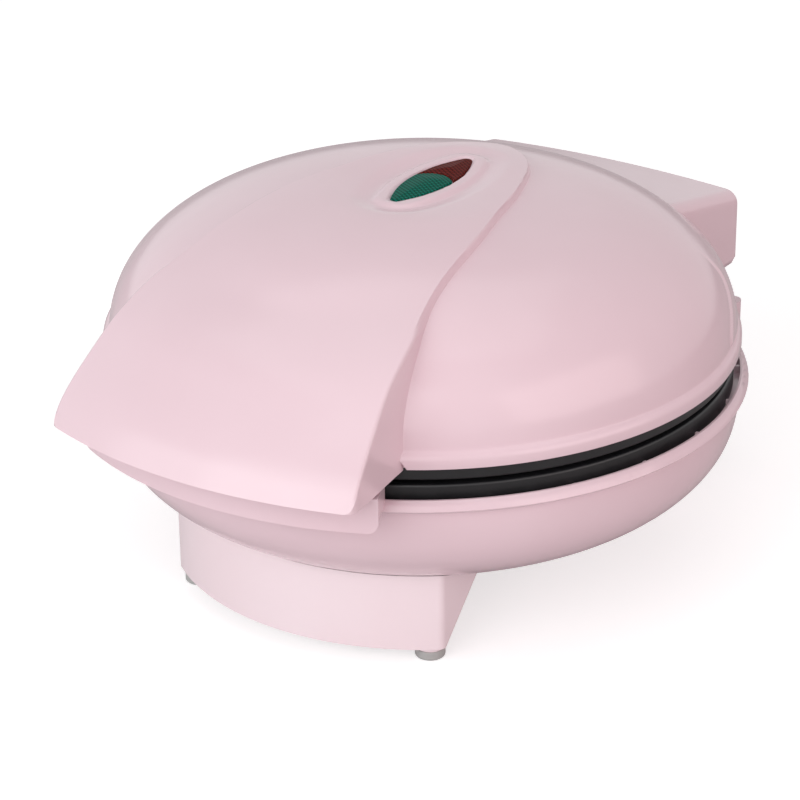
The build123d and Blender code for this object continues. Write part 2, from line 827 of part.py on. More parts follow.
with BuildPart() as lower_clip_screws:
    with BuildSketch(level(lower_clip_z - clip_thickness)):
        with PolarLocations(clip_boss_r, clip_count, start_angle=30):
            Circle(screw_head_radius)
    extrude(amount=-screw_head)
    with BuildSketch(level(lower_clip_z - clip_thickness)):
        with PolarLocations(clip_boss_r, clip_count, start_angle=30):
            Circle(screw_radius)
    extrude(amount=clip_screw)
lower_clip_screws.part.label = "lower_clip_screws"
export_step(lower_clip_screws.part, "parts/lower_clip_screws.step")

with BuildPart() as upper_clip_screws:
    with BuildSketch(level(upper_web_z + 2 * element_tube + clip_thickness)):
        with PolarLocations(clip_boss_r, clip_count, start_angle=30):
            Circle(screw_head_radius)
    extrude(amount=screw_head)
    with BuildSketch(level(upper_web_z + 2 * element_tube + clip_thickness)):
        with PolarLocations(clip_boss_r, clip_count, start_angle=30):
            Circle(screw_radius)
    extrude(amount=-clip_screw)
upper_clip_screws.part.label = "upper_clip_screws"
export_step(upper_clip_screws.part, "parts/upper_clip_screws.step")

with BuildPart() as lower_heat_shield:
    with BuildSketch(level(lower_shield_z)):
        Circle(lower_shield_radius)
        with PolarLocations(shield_boss_r, 3, start_angle=30):
            Circle(long_screw_radius + screw_clearance, mode=Mode.SUBTRACT)
        with PolarLocations(shield_boss_r, 3, start_angle=90):
            Circle(screw_radius + screw_clearance, mode=Mode.SUBTRACT)
    extrude(amount=shield_thickness)
    with BuildSketch(level(lower_shield_z)):
        Circle(lower_shield_radius)
        Circle(lower_shield_radius - shield_thickness, mode=Mode.SUBTRACT)
    extrude(amount=shield_flange)
lower_heat_shield.part.label = "lower_heat_shield"
export_step(lower_heat_shield.part, "parts/lower_heat_shield.step")

with BuildPart() as upper_heat_shield:
    with BuildSketch(level(upper_shield_z)):
        Circle(upper_shield_radius)
        with PolarLocations(shield_boss_r, 3, start_angle=30):
            Circle(screw_radius + screw_clearance, mode=Mode.SUBTRACT)
    extrude(amount=shield_thickness)
    with BuildSketch(level(upper_shield_z + shield_thickness)):
        Circle(upper_shield_radius)
        Circle(upper_shield_radius - shield_thickness, mode=Mode.SUBTRACT)
    extrude(amount=-shield_flange)
upper_heat_shield.part.label = "upper_heat_shield"
export_step(upper_heat_shield.part, "parts/upper_heat_shield.step")

with BuildPart() as lower_shield_screws:
    with BuildSketch(level(lower_shield_z)):
        with PolarLocations(shield_boss_r, 3, start_angle=90):
            Circle(screw_head_radius)
    extrude(amount=-screw_head)
    with BuildSketch(level(lower_shield_z)):
        with PolarLocations(shield_boss_r, 3, start_angle=90):
            Circle(screw_radius)
    extrude(amount=short_screw)
lower_shield_screws.part.label = "lower_shield_screws"
export_step(lower_shield_screws.part, "parts/lower_shield_screws.step")

with BuildPart() as upper_shield_screws:
    with BuildSketch(level(upper_shield_z + shield_thickness)):
        with PolarLocations(shield_boss_r, 3, start_angle=30):
            Circle(screw_head_radius)
    extrude(amount=screw_head)
    with BuildSketch(level(upper_shield_z + shield_thickness)):
        with PolarLocations(shield_boss_r, 3, start_angle=30):
            Circle(screw_radius)
    extrude(amount=-short_screw)
upper_shield_screws.part.label = "upper_shield_screws"
export_step(upper_shield_screws.part, "parts/upper_shield_screws.step")

with BuildPart() as housing_screws:
    with BuildSketch(level(post_seat_z)):
        with PolarLocations(shield_boss_r, 3, start_angle=30):
            Circle(long_screw_head_radius)
    extrude(amount=-long_screw_head)
    with BuildSketch(level(post_seat_z)):
        with PolarLocations(shield_boss_r, 3, start_angle=30):
            Circle(long_screw_radius)
    extrude(amount=lower_shield_z - post_seat_z + long_hole_depth - 2)
housing_screws.part.label = "housing_screws"
export_step(housing_screws.part, "parts/housing_screws.step")

# Wiring pieces of the base

with BuildPart() as terminal_block:
    with BuildSketch(level(terminal_seat_z)):
        RectangleRounded(terminal_length, terminal_width, 1.5)
        with GridLocations(terminal_pitch, 1, 2, 1):
            Circle(screw_radius + screw_clearance, mode=Mode.SUBTRACT)
    extrude(amount=terminal_height)
    # wire openings, three each side, and the clamp screws above them
    with BuildSketch(Plane.XZ.offset(-axis_y - terminal_width / 2 - 1)):
        with Locations((0, terminal_seat_z + 5)):
            with GridLocations(6, 1, 3, 1):
                Circle(2.0)
    extrude(amount=terminal_width + 2, mode=Mode.SUBTRACT)
terminal_block.part.label = "terminal_block"
export_step(terminal_block.part, "parts/terminal_block.step")

with BuildPart() as terminal_screws:
    with BuildSketch(level(terminal_seat_z + terminal_height)):
        with GridLocations(terminal_pitch, 1, 2, 1):
            Circle(screw_head_radius)
    extrude(amount=screw_head)
    with BuildSketch(level(terminal_seat_z + terminal_height)):
        with GridLocations(terminal_pitch, 1, 2, 1):
            Circle(screw_radius)
    extrude(amount=-terminal_height - 2.5)
terminal_screws.part.label = "terminal_screws"
export_step(terminal_screws.part, "parts/terminal_screws.step")

with BuildPart() as thermostat:
    with BuildSketch(level(web_z - thermostat_boss)):
        with PolarLocations(clip_boss_r, 1, start_angle=thermostat_angle):
            Circle(thermostat_radius)
    extrude(amount=-thermostat_height)
    with BuildSketch(level(web_z - thermostat_boss)):
        with PolarLocations(clip_boss_r, 1, start_angle=thermostat_angle):
            Circle(thermostat_stud_radius)
    extrude(amount=thermostat_boss + 1)
    with BuildSketch(level(web_z - thermostat_boss - thermostat_height)):
        with PolarLocations(clip_boss_r, 1, start_angle=thermostat_angle):
            with GridLocations(1, 7, 1, 2):
                Rectangle(6.0, 0.8)
    extrude(amount=-8)
thermostat.part.label = "thermostat"
export_step(thermostat.part, "parts/thermostat.step")

with BuildPart() as thermal_fuse:
    with BuildSketch(side(-fuse_length / 2)):
        with Locations((fuse_y, lower_shield_z + shield_thickness + fuse_radius)):
            Circle(fuse_radius)
    extrude(amount=fuse_length)
thermal_fuse.part.label = "thermal_fuse"
export_step(thermal_fuse.part, "parts/thermal_fuse.step")

with BuildPart() as fuse_clip:
    with BuildSketch(side(-fuse_clip_width / 2)):
        with Locations((fuse_y, lower_shield_z + shield_thickness + fuse_radius)):
            Circle(fuse_radius + fuse_clip_wall)
        with Locations((fuse_y, lower_shield_z + shield_thickness)):
            Rectangle(4 * fuse_radius + 8, fuse_clip_wall, align=(Align.CENTER, Align.MIN))
            Rectangle(
                2 * (fuse_radius + fuse_clip_wall), fuse_radius, align=(Align.CENTER, Align.MIN)
            )
        with Locations((fuse_y, lower_shield_z + shield_thickness + fuse_radius)):
            Circle(fuse_radius, mode=Mode.SUBTRACT)
        with Locations((fuse_y, lower_shield_z + shield_thickness)):
            Rectangle(2 * fuse_radius, fuse_radius, align=(Align.CENTER, Align.MIN), mode=Mode.SUBTRACT)
            Rectangle(
                4 * fuse_radius + 8,
                2 * fuse_radius,
                align=(Align.CENTER, Align.MAX),
                mode=Mode.SUBTRACT,
            )
    extrude(amount=fuse_clip_width)
fuse_clip.part.label = "fuse_clip"
export_step(fuse_clip.part, "parts/fuse_clip.step")

with BuildPart() as inlet_bush:
    with BuildSketch(Plane.XZ.offset(-axis_y - rear_reach)):
        with Locations((0, inlet_z)):
            Circle(bush_flange_radius)
    extrude(amount=-bush_flange)
    with BuildSketch(Plane.XZ.offset(-axis_y - rear_reach)):
        with Locations((0, inlet_z)):
            Circle(bush_radius)
    extrude(amount=wall)
    with BuildSketch(Plane.XZ.offset(-axis_y - rear_reach + wall)):
        with Locations((0, inlet_z)):
            Circle(bush_flange_radius)
    extrude(amount=bush_flange)
    with BuildSketch(Plane.XZ.offset(-axis_y - rear_reach - bush_flange - 1)):
        with Locations((0, inlet_z)):
            Circle(inlet_radius)
    extrude(amount=wall + 2 * bush_flange + 2, mode=Mode.SUBTRACT)
inlet_bush.part.label = "inlet_bush"
export_step(inlet_bush.part, "parts/inlet_bush.step")

# Lid cover: dome with its lip, the band that runs down into the handle, and the rear wing

corner_y = handle_sag - handle_reach            # the handle's front corners
arc_radius = (handle_half_width**2 + handle_sag**2) / (2 * handle_sag)
arc_y = arc_radius - handle_reach               # centre of the handle's arcs
handle_z_run = handle_top_z - handle_bottom_z
frame_top_z = lid_bottom_z + frame_thickness
# the band's edge: share of the way from the front corner to the tip, share of the half width
band_edge = [
    (0.0, 1.0), (0.084, 0.952), (0.146, 0.914), (0.259, 0.856), (0.389, 0.758), (0.525, 0.652),
    (0.666, 0.540), (0.791, 0.438), (0.887, 0.346), (0.944, 0.242), (0.978, 0.128), (1.0, 0.0),
]
# the handle's slope: share of the way out from its start, share of its height
handle_slope = [
    (0.0, 1.0), (0.09, 0.994), (0.18, 0.983), (0.304, 0.944), (0.401, 0.889), (0.495, 0.823),
    (0.598, 0.738), (0.685, 0.652), (0.768, 0.543), (0.817, 0.455), (0.868, 0.357),
    (0.918, 0.256), (0.951, 0.179), (0.978, 0.097), (1.0, 0.0),
]


def band_outline(inset):
    """Plan of the band and handle, inset all round, on the round body's axis."""
    half = handle_half_width - inset
    front = corner_y + inset
    tip = band_tip_y - inset
    edge = [(half * w, front + s * (tip - front)) for s, w in band_edge]
    with BuildSketch() as plan:
        with BuildLine():
            right = Spline(edge, tangents=[(-0.19, 1), (-1, 0)])
            left = Spline([(-x, y) for x, y in edge], tangents=[(0.19, 1), (1, 0)])
            ThreePointArc(left @ 0, (0, inset - handle_reach), right @ 0)
        make_face()
    return plan.sketch


def handle_body(inset, low_z):
    """Solid under the handle's slope, turned about the centre of the handle's arcs."""
    run = arc_radius - inset - handle_start
    line = [
        (handle_start + run * t, handle_bottom_z - inset + handle_z_run * h) for t, h in handle_slope
    ]
    with BuildPart() as body:
        turning = Plane(origin=(0, axis_y + arc_y, 0), x_dir=(1, 0, 0), z_dir=(0, -1, 0))
        with BuildSketch(turning):
            with BuildLine():
                Spline(line)
                Polyline(line[-1], (line[-1][0], low_z), (handle_start, low_z), line[0])
            make_face()
        revolve(axis=Axis((0, axis_y + arc_y, 0), (0, 0, 1)))
    return body.part


def wing_body(inset, low_z, round_by):
    """Rear wing: an arched section on its rear face, drawn forward and up into the dome."""
    half = wing_half_width - inset
    with BuildPart() as body:
        with BuildSketch(
            Plane(
                origin=(0, axis_y + rear_reach - inset, 0), x_dir=(1, 0, 0), z_dir=(0, -1, 0)
            )
        ) as arch:
            with BuildLine():
                edge_z = wing_edge_z - inset
                ThreePointArc((-half, edge_z), (0, edge_z + wing_crown), (half, edge_z))
                Polyline((half, edge_z), (half, low_z - 25), (-half, low_z - 25), (-half, edge_z))
            make_face()
            fillet(arch.vertices().group_by(Axis.Y)[-1], wing_corner - inset)
        extrude(amount=wing_length * hypot(1, wing_slope), dir=(0, -1, wing_slope))
        split(bisect_by=level(low_z), keep=Keep.TOP)
        if round_by > 0:
            rear = body.faces().sort_by(Axis.Y)[-1]
            fillet(rear.edges().group_by(Axis.Z)[0], wing_heel_round)
            rear = body.faces().filter_by(Axis.Y).sort_by(Axis.Y)[-1]
            fillet(rear.edges().filter_by(lambda e: e.center().Z > low_z + 2 * wing_heel_round), round_by)
    return body.part


handle_outside = handle_body(0, handle_bottom_z - 1)
handle_cavity = handle_body(wall, handle_bottom_z - 5)
wing_outside = wing_body(0, wing_bottom_z, wing_round)
wing_cavity = wing_body(wall, wing_bottom_z - 2, 0)

with BuildPart() as dome_core:
    with BuildSketch(section):
        with BuildLine():
            shell_line(dome_radius, dome_base_z, dome_rise, dome_side_power, dome_top_power)
            Polyline(
                (dome_radius, dome_base_z),
                (dome_radius, lid_bottom_z),
                (0, lid_bottom_z),
                (0, dome_base_z + dome_rise),
            )
        make_face()
    revolve(axis=upright)

with BuildPart() as dome_inside:
    with BuildSketch(section):
        with BuildLine():
            shell_line(
                dome_radius - wall, dome_base_z, dome_rise - wall, dome_side_power, dome_top_power
            )
            Polyline(
                (dome_radius - wall, dome_base_z),
                (dome_radius - wall, frame_top_z),
                (pocket_radius, frame_top_z),
                (pocket_radius, lid_bottom_z - 1),
                (0, lid_bottom_z - 1),
                (0, dome_base_z + dome_rise - wall),
            )
        make_face()
    revolve(axis=upright)

with BuildPart() as band:
    with BuildSketch(section):
        with BuildLine():
            shell_line(
                dome_radius + band_lift,
                dome_base_z,
                dome_rise + band_lift,
                dome_side_power,
                dome_top_power,
            )
            Polyline(
                (dome_radius + band_lift, dome_base_z),
                (dome_radius + band_lift, handle_bottom_z),
                (0, handle_bottom_z),
                (0, dome_base_z + dome_rise + band_lift),
            )
        make_face()
    revolve(axis=upright)
    add(handle_outside)
    with BuildSketch(level(handle_bottom_z)):
        add(band_outline(0))
    extrude(amount=dome_base_z + dome_rise + band_lift + 5 - handle_bottom_z, mode=Mode.INTERSECT)

with BuildPart() as handle_hollow:
    add(handle_cavity)
    with BuildSketch(level(handle_bottom_z - 5)):
        add(band_outline(wall))
    extrude(amount=dome_base_z + dome_rise - handle_bottom_z, mode=Mode.INTERSECT)
    add(dome_core.part, mode=Mode.SUBTRACT)

with BuildPart() as wing_hollow:
    add(wing_cavity)
    add(dome_core.part, mode=Mode.SUBTRACT)

with BuildPart() as cover_solid:
    add(dome_core.part)
    with BuildSketch(section):
        with BuildLine():
            Polyline(
                (dome_radius - wall, lid_bottom_z + lip_height),
                (dome_radius - wall, lid_bottom_z),
                (lid_radius, lid_bottom_z),
                (lid_radius, lid_bottom_z + lip_height - lip_round),
            )
            RadiusArc(
                (lid_radius, lid_bottom_z + lip_height - lip_round),
                (lid_radius - lip_round, lid_bottom_z + lip_height),
                -lip_round,
            )
            Line(
                (lid_radius - lip_round, lid_bottom_z + lip_height),
                (dome_radius - wall, lid_bottom_z + lip_height),
            )
        make_face()
    revolve(axis=upright)
    add(band.part)
    add(wing_outside)

front_x, front_y = cover_screw_front
rear_x, rear_y = cover_screw_rear
cover_screw_places = [(front_x, front_y), (-front_x, front_y), (rear_x, rear_y), (-rear_x, rear_y)]
cover_pad_z = lid_bottom_z + cover_pad_height
lamp_boss_places = [(-lamp_boss_x, lens_y), (lamp_boss_x, lens_y)]

with BuildPart() as cover_bosses:
    with BuildSketch(level(cover_pad_z)):
        with Locations(*cover_screw_places):
            Circle(screw_radius + cover_boss_wall)
    extrude(amount=dome_base_z + dome_rise - cover_pad_z)
    with BuildSketch(level(lamp_plate_z + lamp_plate_thickness)):
        with Locations(*lamp_boss_places):
            Circle(screw_radius + 2.0)
    extrude(amount=dome_base_z + dome_rise - lamp_plate_z)
    add(cover_solid.part, mode=Mode.INTERSECT)


def pointed_oval(half_length, half_width, tip_round):
    """Oval of two arcs around the lenses' middle, its two points rounded."""
    low, high = lens_y - half_length, lens_y + half_length
    with BuildSketch() as oval:
        with BuildLine():
            ThreePointArc((0, low), (half_width, lens_y), (0, high))
            ThreePointArc((0, high), (-half_width, lens_y), (0, low))
        make_face()
        fillet(oval.vertices(), tip_round)
    return oval.sketch


def lens_outline(grow):
    """Outline of both lenses, wider by grow all round."""
    return pointed_oval(lens_length / 2 + grow, lens_half_width + grow, lens_tip_round + grow)


recess_outline = pointed_oval(
    lens_length / 2 + lens_recess_end, lens_half_width + lens_recess_side, lens_recess_round
)
band_top_z = dome_base_z + dome_rise + band_lift

with BuildPart() as lens_recess:
    with BuildSketch(level(dome_base_z + dome_rise / 2)):
        add(recess_outline)
    extrude(amount=dome_rise)
    with BuildSketch(section):
        with BuildLine():
            shell_line(
                dome_radius + band_lift - lens_recess_depth,
                dome_base_z,
                dome_rise + band_lift - lens_recess_depth,
                dome_side_power,
                dome_top_power,
            )
            Polyline(
                (dome_radius + band_lift - lens_recess_depth, dome_base_z),
                (0, dome_base_z),
                (0, dome_base_z + dome_rise + band_lift - lens_recess_depth),
            )
        make_face()
    revolve(axis=upright, mode=Mode.SUBTRACT)

with BuildPart() as lid_cover:
    add(cover_solid.part)
    add(dome_inside.part, mode=Mode.SUBTRACT)
    add(handle_hollow.part, mode=Mode.SUBTRACT)
    add(wing_hollow.part, mode=Mode.SUBTRACT)
    with BuildSketch(level(wing_bottom_z - 5)):
        Circle(lid_radius)
    extrude(amount=lid_bottom_z - wing_bottom_z + 5, mode=Mode.SUBTRACT)
    # seats of the frame's front and rear parts, through the lip
    with BuildSketch(level(lid_bottom_z)):
        add(band_outline(wall))
        with Locations((0, (rear_reach - wall) / 2)):
            Rectangle(2 * (wing_half_width - wall), rear_reach - wall)
    extrude(amount=frame_thickness, mode=Mode.SUBTRACT)
    add(cover_bosses.part)
    with BuildSketch(level(cover_pad_z)):
        with Locations(*cover_screw_places):
            Circle(screw_radius)
    extrude(amount=short_screw + 1, mode=Mode.SUBTRACT)
    with BuildSketch(level(lamp_plate_z)):
        with Locations(*lamp_boss_places):
            Circle(screw_radius)
    extrude(amount=short_screw + 2, mode=Mode.SUBTRACT)
    with BuildSketch(level(band_top_z - lens_height / 2)):
        add(lens_outline(lens_clearance))
    extrude(amount=lens_height, mode=Mode.SUBTRACT)
    add(lens_recess.part, mode=Mode.SUBTRACT)
lid_cover.part.label = "lid_cover"
export_step(lid_cover.part, "parts/lid_cover.step")

# Lid frame: ring over the upper plate, underside of the handle and floor of the wing

with BuildPart() as lid_frame:
    with BuildSketch(level(lid_bottom_z)):
        Circle(pocket_radius - frame_clearance)
        add(band_outline(wall + frame_clearance))
        with Locations((0, rear_reach / 2 - wall / 2 - frame_clearance / 2)):
            Rectangle(
                2 * (wing_half_width - wall - frame_clearance),
                rear_reach - wall - frame_clearance,
            )
        Circle(frame_inner_radius, mode=Mode.SUBTRACT)
    extrude(amount=frame_thickness)
    # lugs that reach in over the element to the upper plate's bosses
    with BuildSketch(level(lid_bottom_z + 1)):
        with PolarLocations(frame_inner_radius - 0.4, lug_count, start_angle=90):
            Rectangle(2.8, lug_width, align=(Align.MIN, Align.CENTER))
    extrude(amount=lug_z + lug_thickness - lid_bottom_z - 1)
    with BuildSketch(level(lug_z)):
        with PolarLocations(clip_boss_r, lug_count, start_angle=90):
            Circle(lug_width / 2)
            Rectangle(
                frame_inner_radius - clip_boss_r + 2.4, lug_width, align=(Align.MIN, Align.CENTER)
            )
    extrude(amount=lug_thickness)
    with BuildSketch(level(lug_z)):
        with PolarLocations(clip_boss_r, lug_count, start_angle=90):
            Circle(screw_radius + screw_clearance)
    extrude(amount=lug_thickness, mode=Mode.SUBTRACT)
    # pads that the cover is screwed to, their screw heads sunk from below
    with BuildSketch(level(lid_bottom_z)):
        with Locations(*cover_screw_places):
            Circle(cover_pad_radius)
    extrude(amount=cover_pad_height)
    with BuildSketch(level(lid_bottom_z)):
        with Locations(*cover_screw_places):
            Circle(screw_head_radius + head_clearance)
    extrude(amount=screw_head + head_clearance, mode=Mode.SUBTRACT)
    with BuildSketch(level(lid_bottom_z)):
        with Locations(*cover_screw_places):
            Circle(screw_radius + screw_clearance)
    extrude(amount=cover_pad_height, mode=Mode.SUBTRACT)
    # knuckles of the hinge, inside the base's ears
    for x in (ear_inner_x - knuckle_gap - ear_thickness, knuckle_gap - ear_inner_x):
        with BuildSketch(side(x)):
            with Locations((hinge_y, hinge_z)):
                Circle(ear_radius)
            with BuildLine():
                Polyline(
                    (hinge_y - ear_radius, hinge_z),
                    (hinge_y, hinge_z),
                    (rear_reach - wall - frame_clearance, hinge_z + ear_radius - 1),
                    (rear_reach - wall - frame_clearance, lid_bottom_z + 1),
                    (hinge_y - ear_radius, lid_bottom_z + 1),
                    close=True,
                )
            make_face()
        extrude(amount=ear_thickness)
    with BuildSketch(side(-wing_half_width)):
        with Locations((hinge_y, hinge_z)):
            Circle(hinge_pin_radius)
    extrude(amount=2 * wing_half_width, mode=Mode.SUBTRACT)
lid_frame.part.label = "lid_frame"
export_step(lid_frame.part, "parts/lid_frame.step")

with BuildPart() as upper_plate_screws:
    with BuildSketch(level(lug_z + lug_thickness)):
        with PolarLocations(clip_boss_r, lug_count, start_angle=90):
            Circle(screw_head_radius)
    extrude(amount=screw_head)
    with BuildSketch(level(lug_z + lug_thickness)):
        with PolarLocations(clip_boss_r, lug_count, start_angle=90):
            Circle(screw_radius)
    extrude(amount=-short_screw)
upper_plate_screws.part.label = "upper_plate_screws"
export_step(upper_plate_screws.part, "parts/upper_plate_screws.step")

with BuildPart() as cover_screws:
    with BuildSketch(level(lid_bottom_z + screw_head + head_clearance)):
        with Locations(*cover_screw_places):
            Circle(screw_head_radius)
    extrude(amount=-screw_head)
    with BuildSketch(level(lid_bottom_z + screw_head + head_clearance)):
        with Locations(*cover_screw_places):
            Circle(screw_radius)
    extrude(amount=cover_screw)
cover_screws.part.label = "cover_screws"
export_step(cover_screws.part, "parts/cover_screws.step")

knuckle_inner_x = ear_inner_x - knuckle_gap - ear_thickness
ear_outer_x = ear_inner_x + ear_thickness

with BuildPart() as hinge_pins:
    with BuildSketch(side(knuckle_inner_x)):
        with Locations((hinge_y, hinge_z)):
            Circle(hinge_pin_radius)
    extrude(amount=ear_outer_x + frame_clearance - knuckle_inner_x)
    with BuildSketch(side(ear_outer_x + frame_clearance)):
        with Locations((hinge_y, hinge_z)):
            Circle(pin_head_radius)
    extrude(amount=pin_head)
    mirror(about=Plane.YZ)
hinge_pins.part.label = "hinge_pins"
export_step(hinge_pins.part, "parts/hinge_pins.step")

# Signal lamps: two lenses in one pointed oval, two lamps on a plate below them

lens_flange_z = dome_base_z + dome_rise - wall - 0.8

with BuildPart() as lens_blank:
    with BuildSketch(level(lens_flange_z - lens_flange_height)):
        add(lens_outline(0))
    extrude(amount=lens_height)
    with BuildSketch(section):
        with BuildLine():
            shell_line(
                dome_radius + band_lift + lens_stand,
                dome_base_z,
                dome_rise + band_lift + lens_stand,
                dome_side_power,
                dome_top_power,
            )
            Polyline(
                (dome_radius + band_lift + lens_stand, dome_base_z),
                (0, dome_base_z),
                (0, dome_base_z + dome_rise + band_lift + lens_stand),
            )
        make_face()
    revolve(axis=upright, mode=Mode.INTERSECT)
    with BuildSketch(level(lens_flange_z - lens_flange_height)):
        add(lens_outline(lens_flange))
    extrude(amount=lens_flange_height)


def round_end(grow, behind):
    """Plan of everything before the green lens's round end, or of everything behind it."""
    with BuildSketch() as plan:
        centre_y = lens_split_y - lens_split_radius
        if behind:
            with Locations((0, centre_y)):
                Rectangle(lens_length, lens_length, align=(Align.CENTER, Align.MIN))
                Circle(lens_split_radius + grow, mode=Mode.SUBTRACT)
        else:
            with Locations((0, centre_y)):
                Rectangle(lens_length, lens_length, align=(Align.CENTER, Align.MAX))
                Circle(lens_split_radius + grow)
    return plan.sketch


with BuildPart() as green_lens:
    add(lens_blank.part)
    with BuildSketch(level(lens_flange_z - 10)):
        add(round_end(0, False))
    extrude(amount=lens_height, mode=Mode.INTERSECT)
green_lens.part.label = "green_lens"
export_step(green_lens.part, "parts/green_lens.step")

with BuildPart() as red_lens:
    add(lens_blank.part)
    with BuildSketch(level(lens_flange_z - 10)):
        add(round_end(lens_clearance, True))
    extrude(amount=lens_height, mode=Mode.INTERSECT)
red_lens.part.label = "red_lens"
export_step(red_lens.part, "parts/red_lens.step")

lamp_places = [(0, lens_y - lamp_pitch / 2), (0, lens_y + lamp_pitch / 2)]

with BuildPart() as lamp_holder:
    with BuildSketch(level(lamp_plate_z)):
        with Locations((0, lens_y)):
            RectangleRounded(2 * lamp_boss_x + 9, lamp_pitch + 12, 3)
        with Locations(*lamp_boss_places):
            Circle(screw_radius + screw_clearance, mode=Mode.SUBTRACT)
    extrude(amount=lamp_plate_thickness)
    with BuildSketch(level(lamp_plate_z + lamp_plate_thickness)):
        with Locations(*lamp_places):
            Circle(lamp_radius + 1.4)
            Circle(lamp_radius + 0.1, mode=Mode.SUBTRACT)
    extrude(amount=4)
lamp_holder.part.label = "lamp_holder"
export_step(lamp_holder.part, "parts/lamp_holder.step")

with BuildPart() as signal_lamps:
    with BuildSketch(level(lamp_plate_z + lamp_plate_thickness)):
        with Locations(*lamp_places):
            Circle(lamp_radius)
    extrude(amount=lamp_length)
    fillet(signal_lamps.edges().group_by(Axis.Z)[-1], lamp_radius * 0.8)
signal_lamps.part.label = "signal_lamps"
export_step(signal_lamps.part, "parts/signal_lamps.step")

with BuildPart() as lamp_screws:
    with BuildSketch(level(lamp_plate_z)):
        with Locations(*lamp_boss_places):
            Circle(screw_head_radius)
    extrude(amount=-screw_head)
    with BuildSketch(level(lamp_plate_z)):
        with Locations(*lamp_boss_places):
            Circle(screw_radius)
    extrude(amount=short_screw)
lamp_screws.part.label = "lamp_screws"
export_step(lamp_screws.part, "parts/lamp_screws.step")
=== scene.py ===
import json
from math import cos, radians, sin, tan

import bmesh
import bpy
import numpy as np
from mathutils import Matrix, Vector


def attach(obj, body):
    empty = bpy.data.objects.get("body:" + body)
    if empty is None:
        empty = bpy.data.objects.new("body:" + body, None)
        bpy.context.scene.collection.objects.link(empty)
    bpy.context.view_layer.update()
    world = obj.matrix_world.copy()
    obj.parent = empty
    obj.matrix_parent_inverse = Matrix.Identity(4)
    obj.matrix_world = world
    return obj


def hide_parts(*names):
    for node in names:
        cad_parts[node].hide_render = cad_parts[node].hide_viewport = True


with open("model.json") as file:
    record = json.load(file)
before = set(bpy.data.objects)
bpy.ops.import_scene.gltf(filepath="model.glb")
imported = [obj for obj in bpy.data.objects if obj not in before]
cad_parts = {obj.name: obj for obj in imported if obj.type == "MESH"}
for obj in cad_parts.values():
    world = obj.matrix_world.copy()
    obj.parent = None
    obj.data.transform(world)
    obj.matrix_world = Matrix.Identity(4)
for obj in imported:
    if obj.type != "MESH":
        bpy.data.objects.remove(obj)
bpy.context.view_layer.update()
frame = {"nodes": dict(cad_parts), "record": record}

# Sizes in millimetres and degrees, from the round body's axis and the table

AXIS_Y = 4.1                            # the axis in the shared frame
TABLE_Z = 0.0
WALL = 2.4

# Dome and lip
LID_R, LID_Z = 107.5, 79.0              # the lid's lower edge
DOME_R, DOME_Z, DOME_RISE = 105.4, 82.5, 47.7
SIDE_POWER, TOP_POWER = 2.945, 2.07     # of the dome's curve
LIP_ROUND, LIP_RISE = 2.8, 2.6          # the lip's round edge and its middle above the lower edge
LIP_TOP, LIP_INSIDE = 5.4, 106.0        # its height, and a radius well inside it
CREASE_STEP = 0.7                       # how far the dome stands out towards the wing
CREASE_ANGLE, CREASE_TURN = 72.4, 11.4  # from the rear, at the lip and how much less further up
CREASE_CLIMB = (86, 103)                # heights over which it turns
CREASE_GONE = (103, 112)                # heights over which it fades out
SUNK, SUNK_OVAL = 1.6, (34.0, 15.0, 9.0)                # where the band covers it around the lenses
HANDLE_SPAN, WING_SPAN = 30.2, 29.0     # half angles over which they hide the lip
HIDDEN_RISE = 3.0                       # how much higher the lip ends there

# Band and handle
BAND_LIFT, EDGE_LIFT = 1.2, 1.2         # above the dome, and how much more away from the axis
EDGE_LIFT_R = (12, 36)                  # radii between which that grows
HANDLE_REACH, HANDLE_HALF, HANDLE_SAG = 135.0, 58.2, 10.2
HANDLE_Z, HANDLE_TOP_Z, HANDLE_START = 78.4, 129.9, 60.0
ARC_R = (HANDLE_HALF**2 + HANDLE_SAG**2) / (2 * HANDLE_SAG)
ARC_Y = ARC_R - HANDLE_REACH
TIP_Y = 52.0                            # the band's round end, behind the lenses
CORNER_ROUND = 3.0                      # of the handle's front corners, in plan
EDGE_ROUND, EDGE_ROUND_RISE = 1.0, 4.0  # and the height above the lower edge that it needs
CHAMFER_START, CHAMFER = 0.15, 0.95     # from the band's outline inwards
CHAMFER_GONE = (2.8, 7.0)               # heights over which the chamfer gives way to a wall
OUTSIDE_FALL = 8                        # slope of both tops beyond the dome's edge
BLEND = 0.7                             # of the band with the slope, in square millimetres
DRAFT = tan(radians(3.0))
RETURN = 1.5                            # width of the flange that turns in under each wall
SEATED = 1.5                            # how far the walls reach into the dome
WALL_STEPS = (1.0, 0.985, 0.93, 0.8, 0.6, 0.4, 0.2, 0.08)

# Boss and windows
LENS_Y, LENS_HALF_LENGTH, LENS_HALF_WIDTH, LENS_TIP = 6.5, 25.3, 7.3, 2.2
BOSS_LENGTH, BOSS_WIDTH, BOSS_TIP = 10.5, 4.6, 8.0      # beyond the lenses, and its points' radius
BOSS_RISE, BOSS_EDGE = 1.2, (-1.4, 1.4)
DIP, DIP_REACH = 1.25, (0.5, 9.0)       # around the boss
WELL_DEPTH, WELL_EDGE = 0.9, (0.2, 0.8)
SPLIT_Y, SPLIT_R, SPLIT_GAP = 12.0, 8.1, 0.25
LENS_PROUD, LENS_ROUND, LENS_WALL = 0.6, 0.6, 3.0
LENS_CROWN, LENS_CROWN_REACH = 0.6, 7.0
LENS_TOP_Z = 132.05                     # just under the solids' highest point

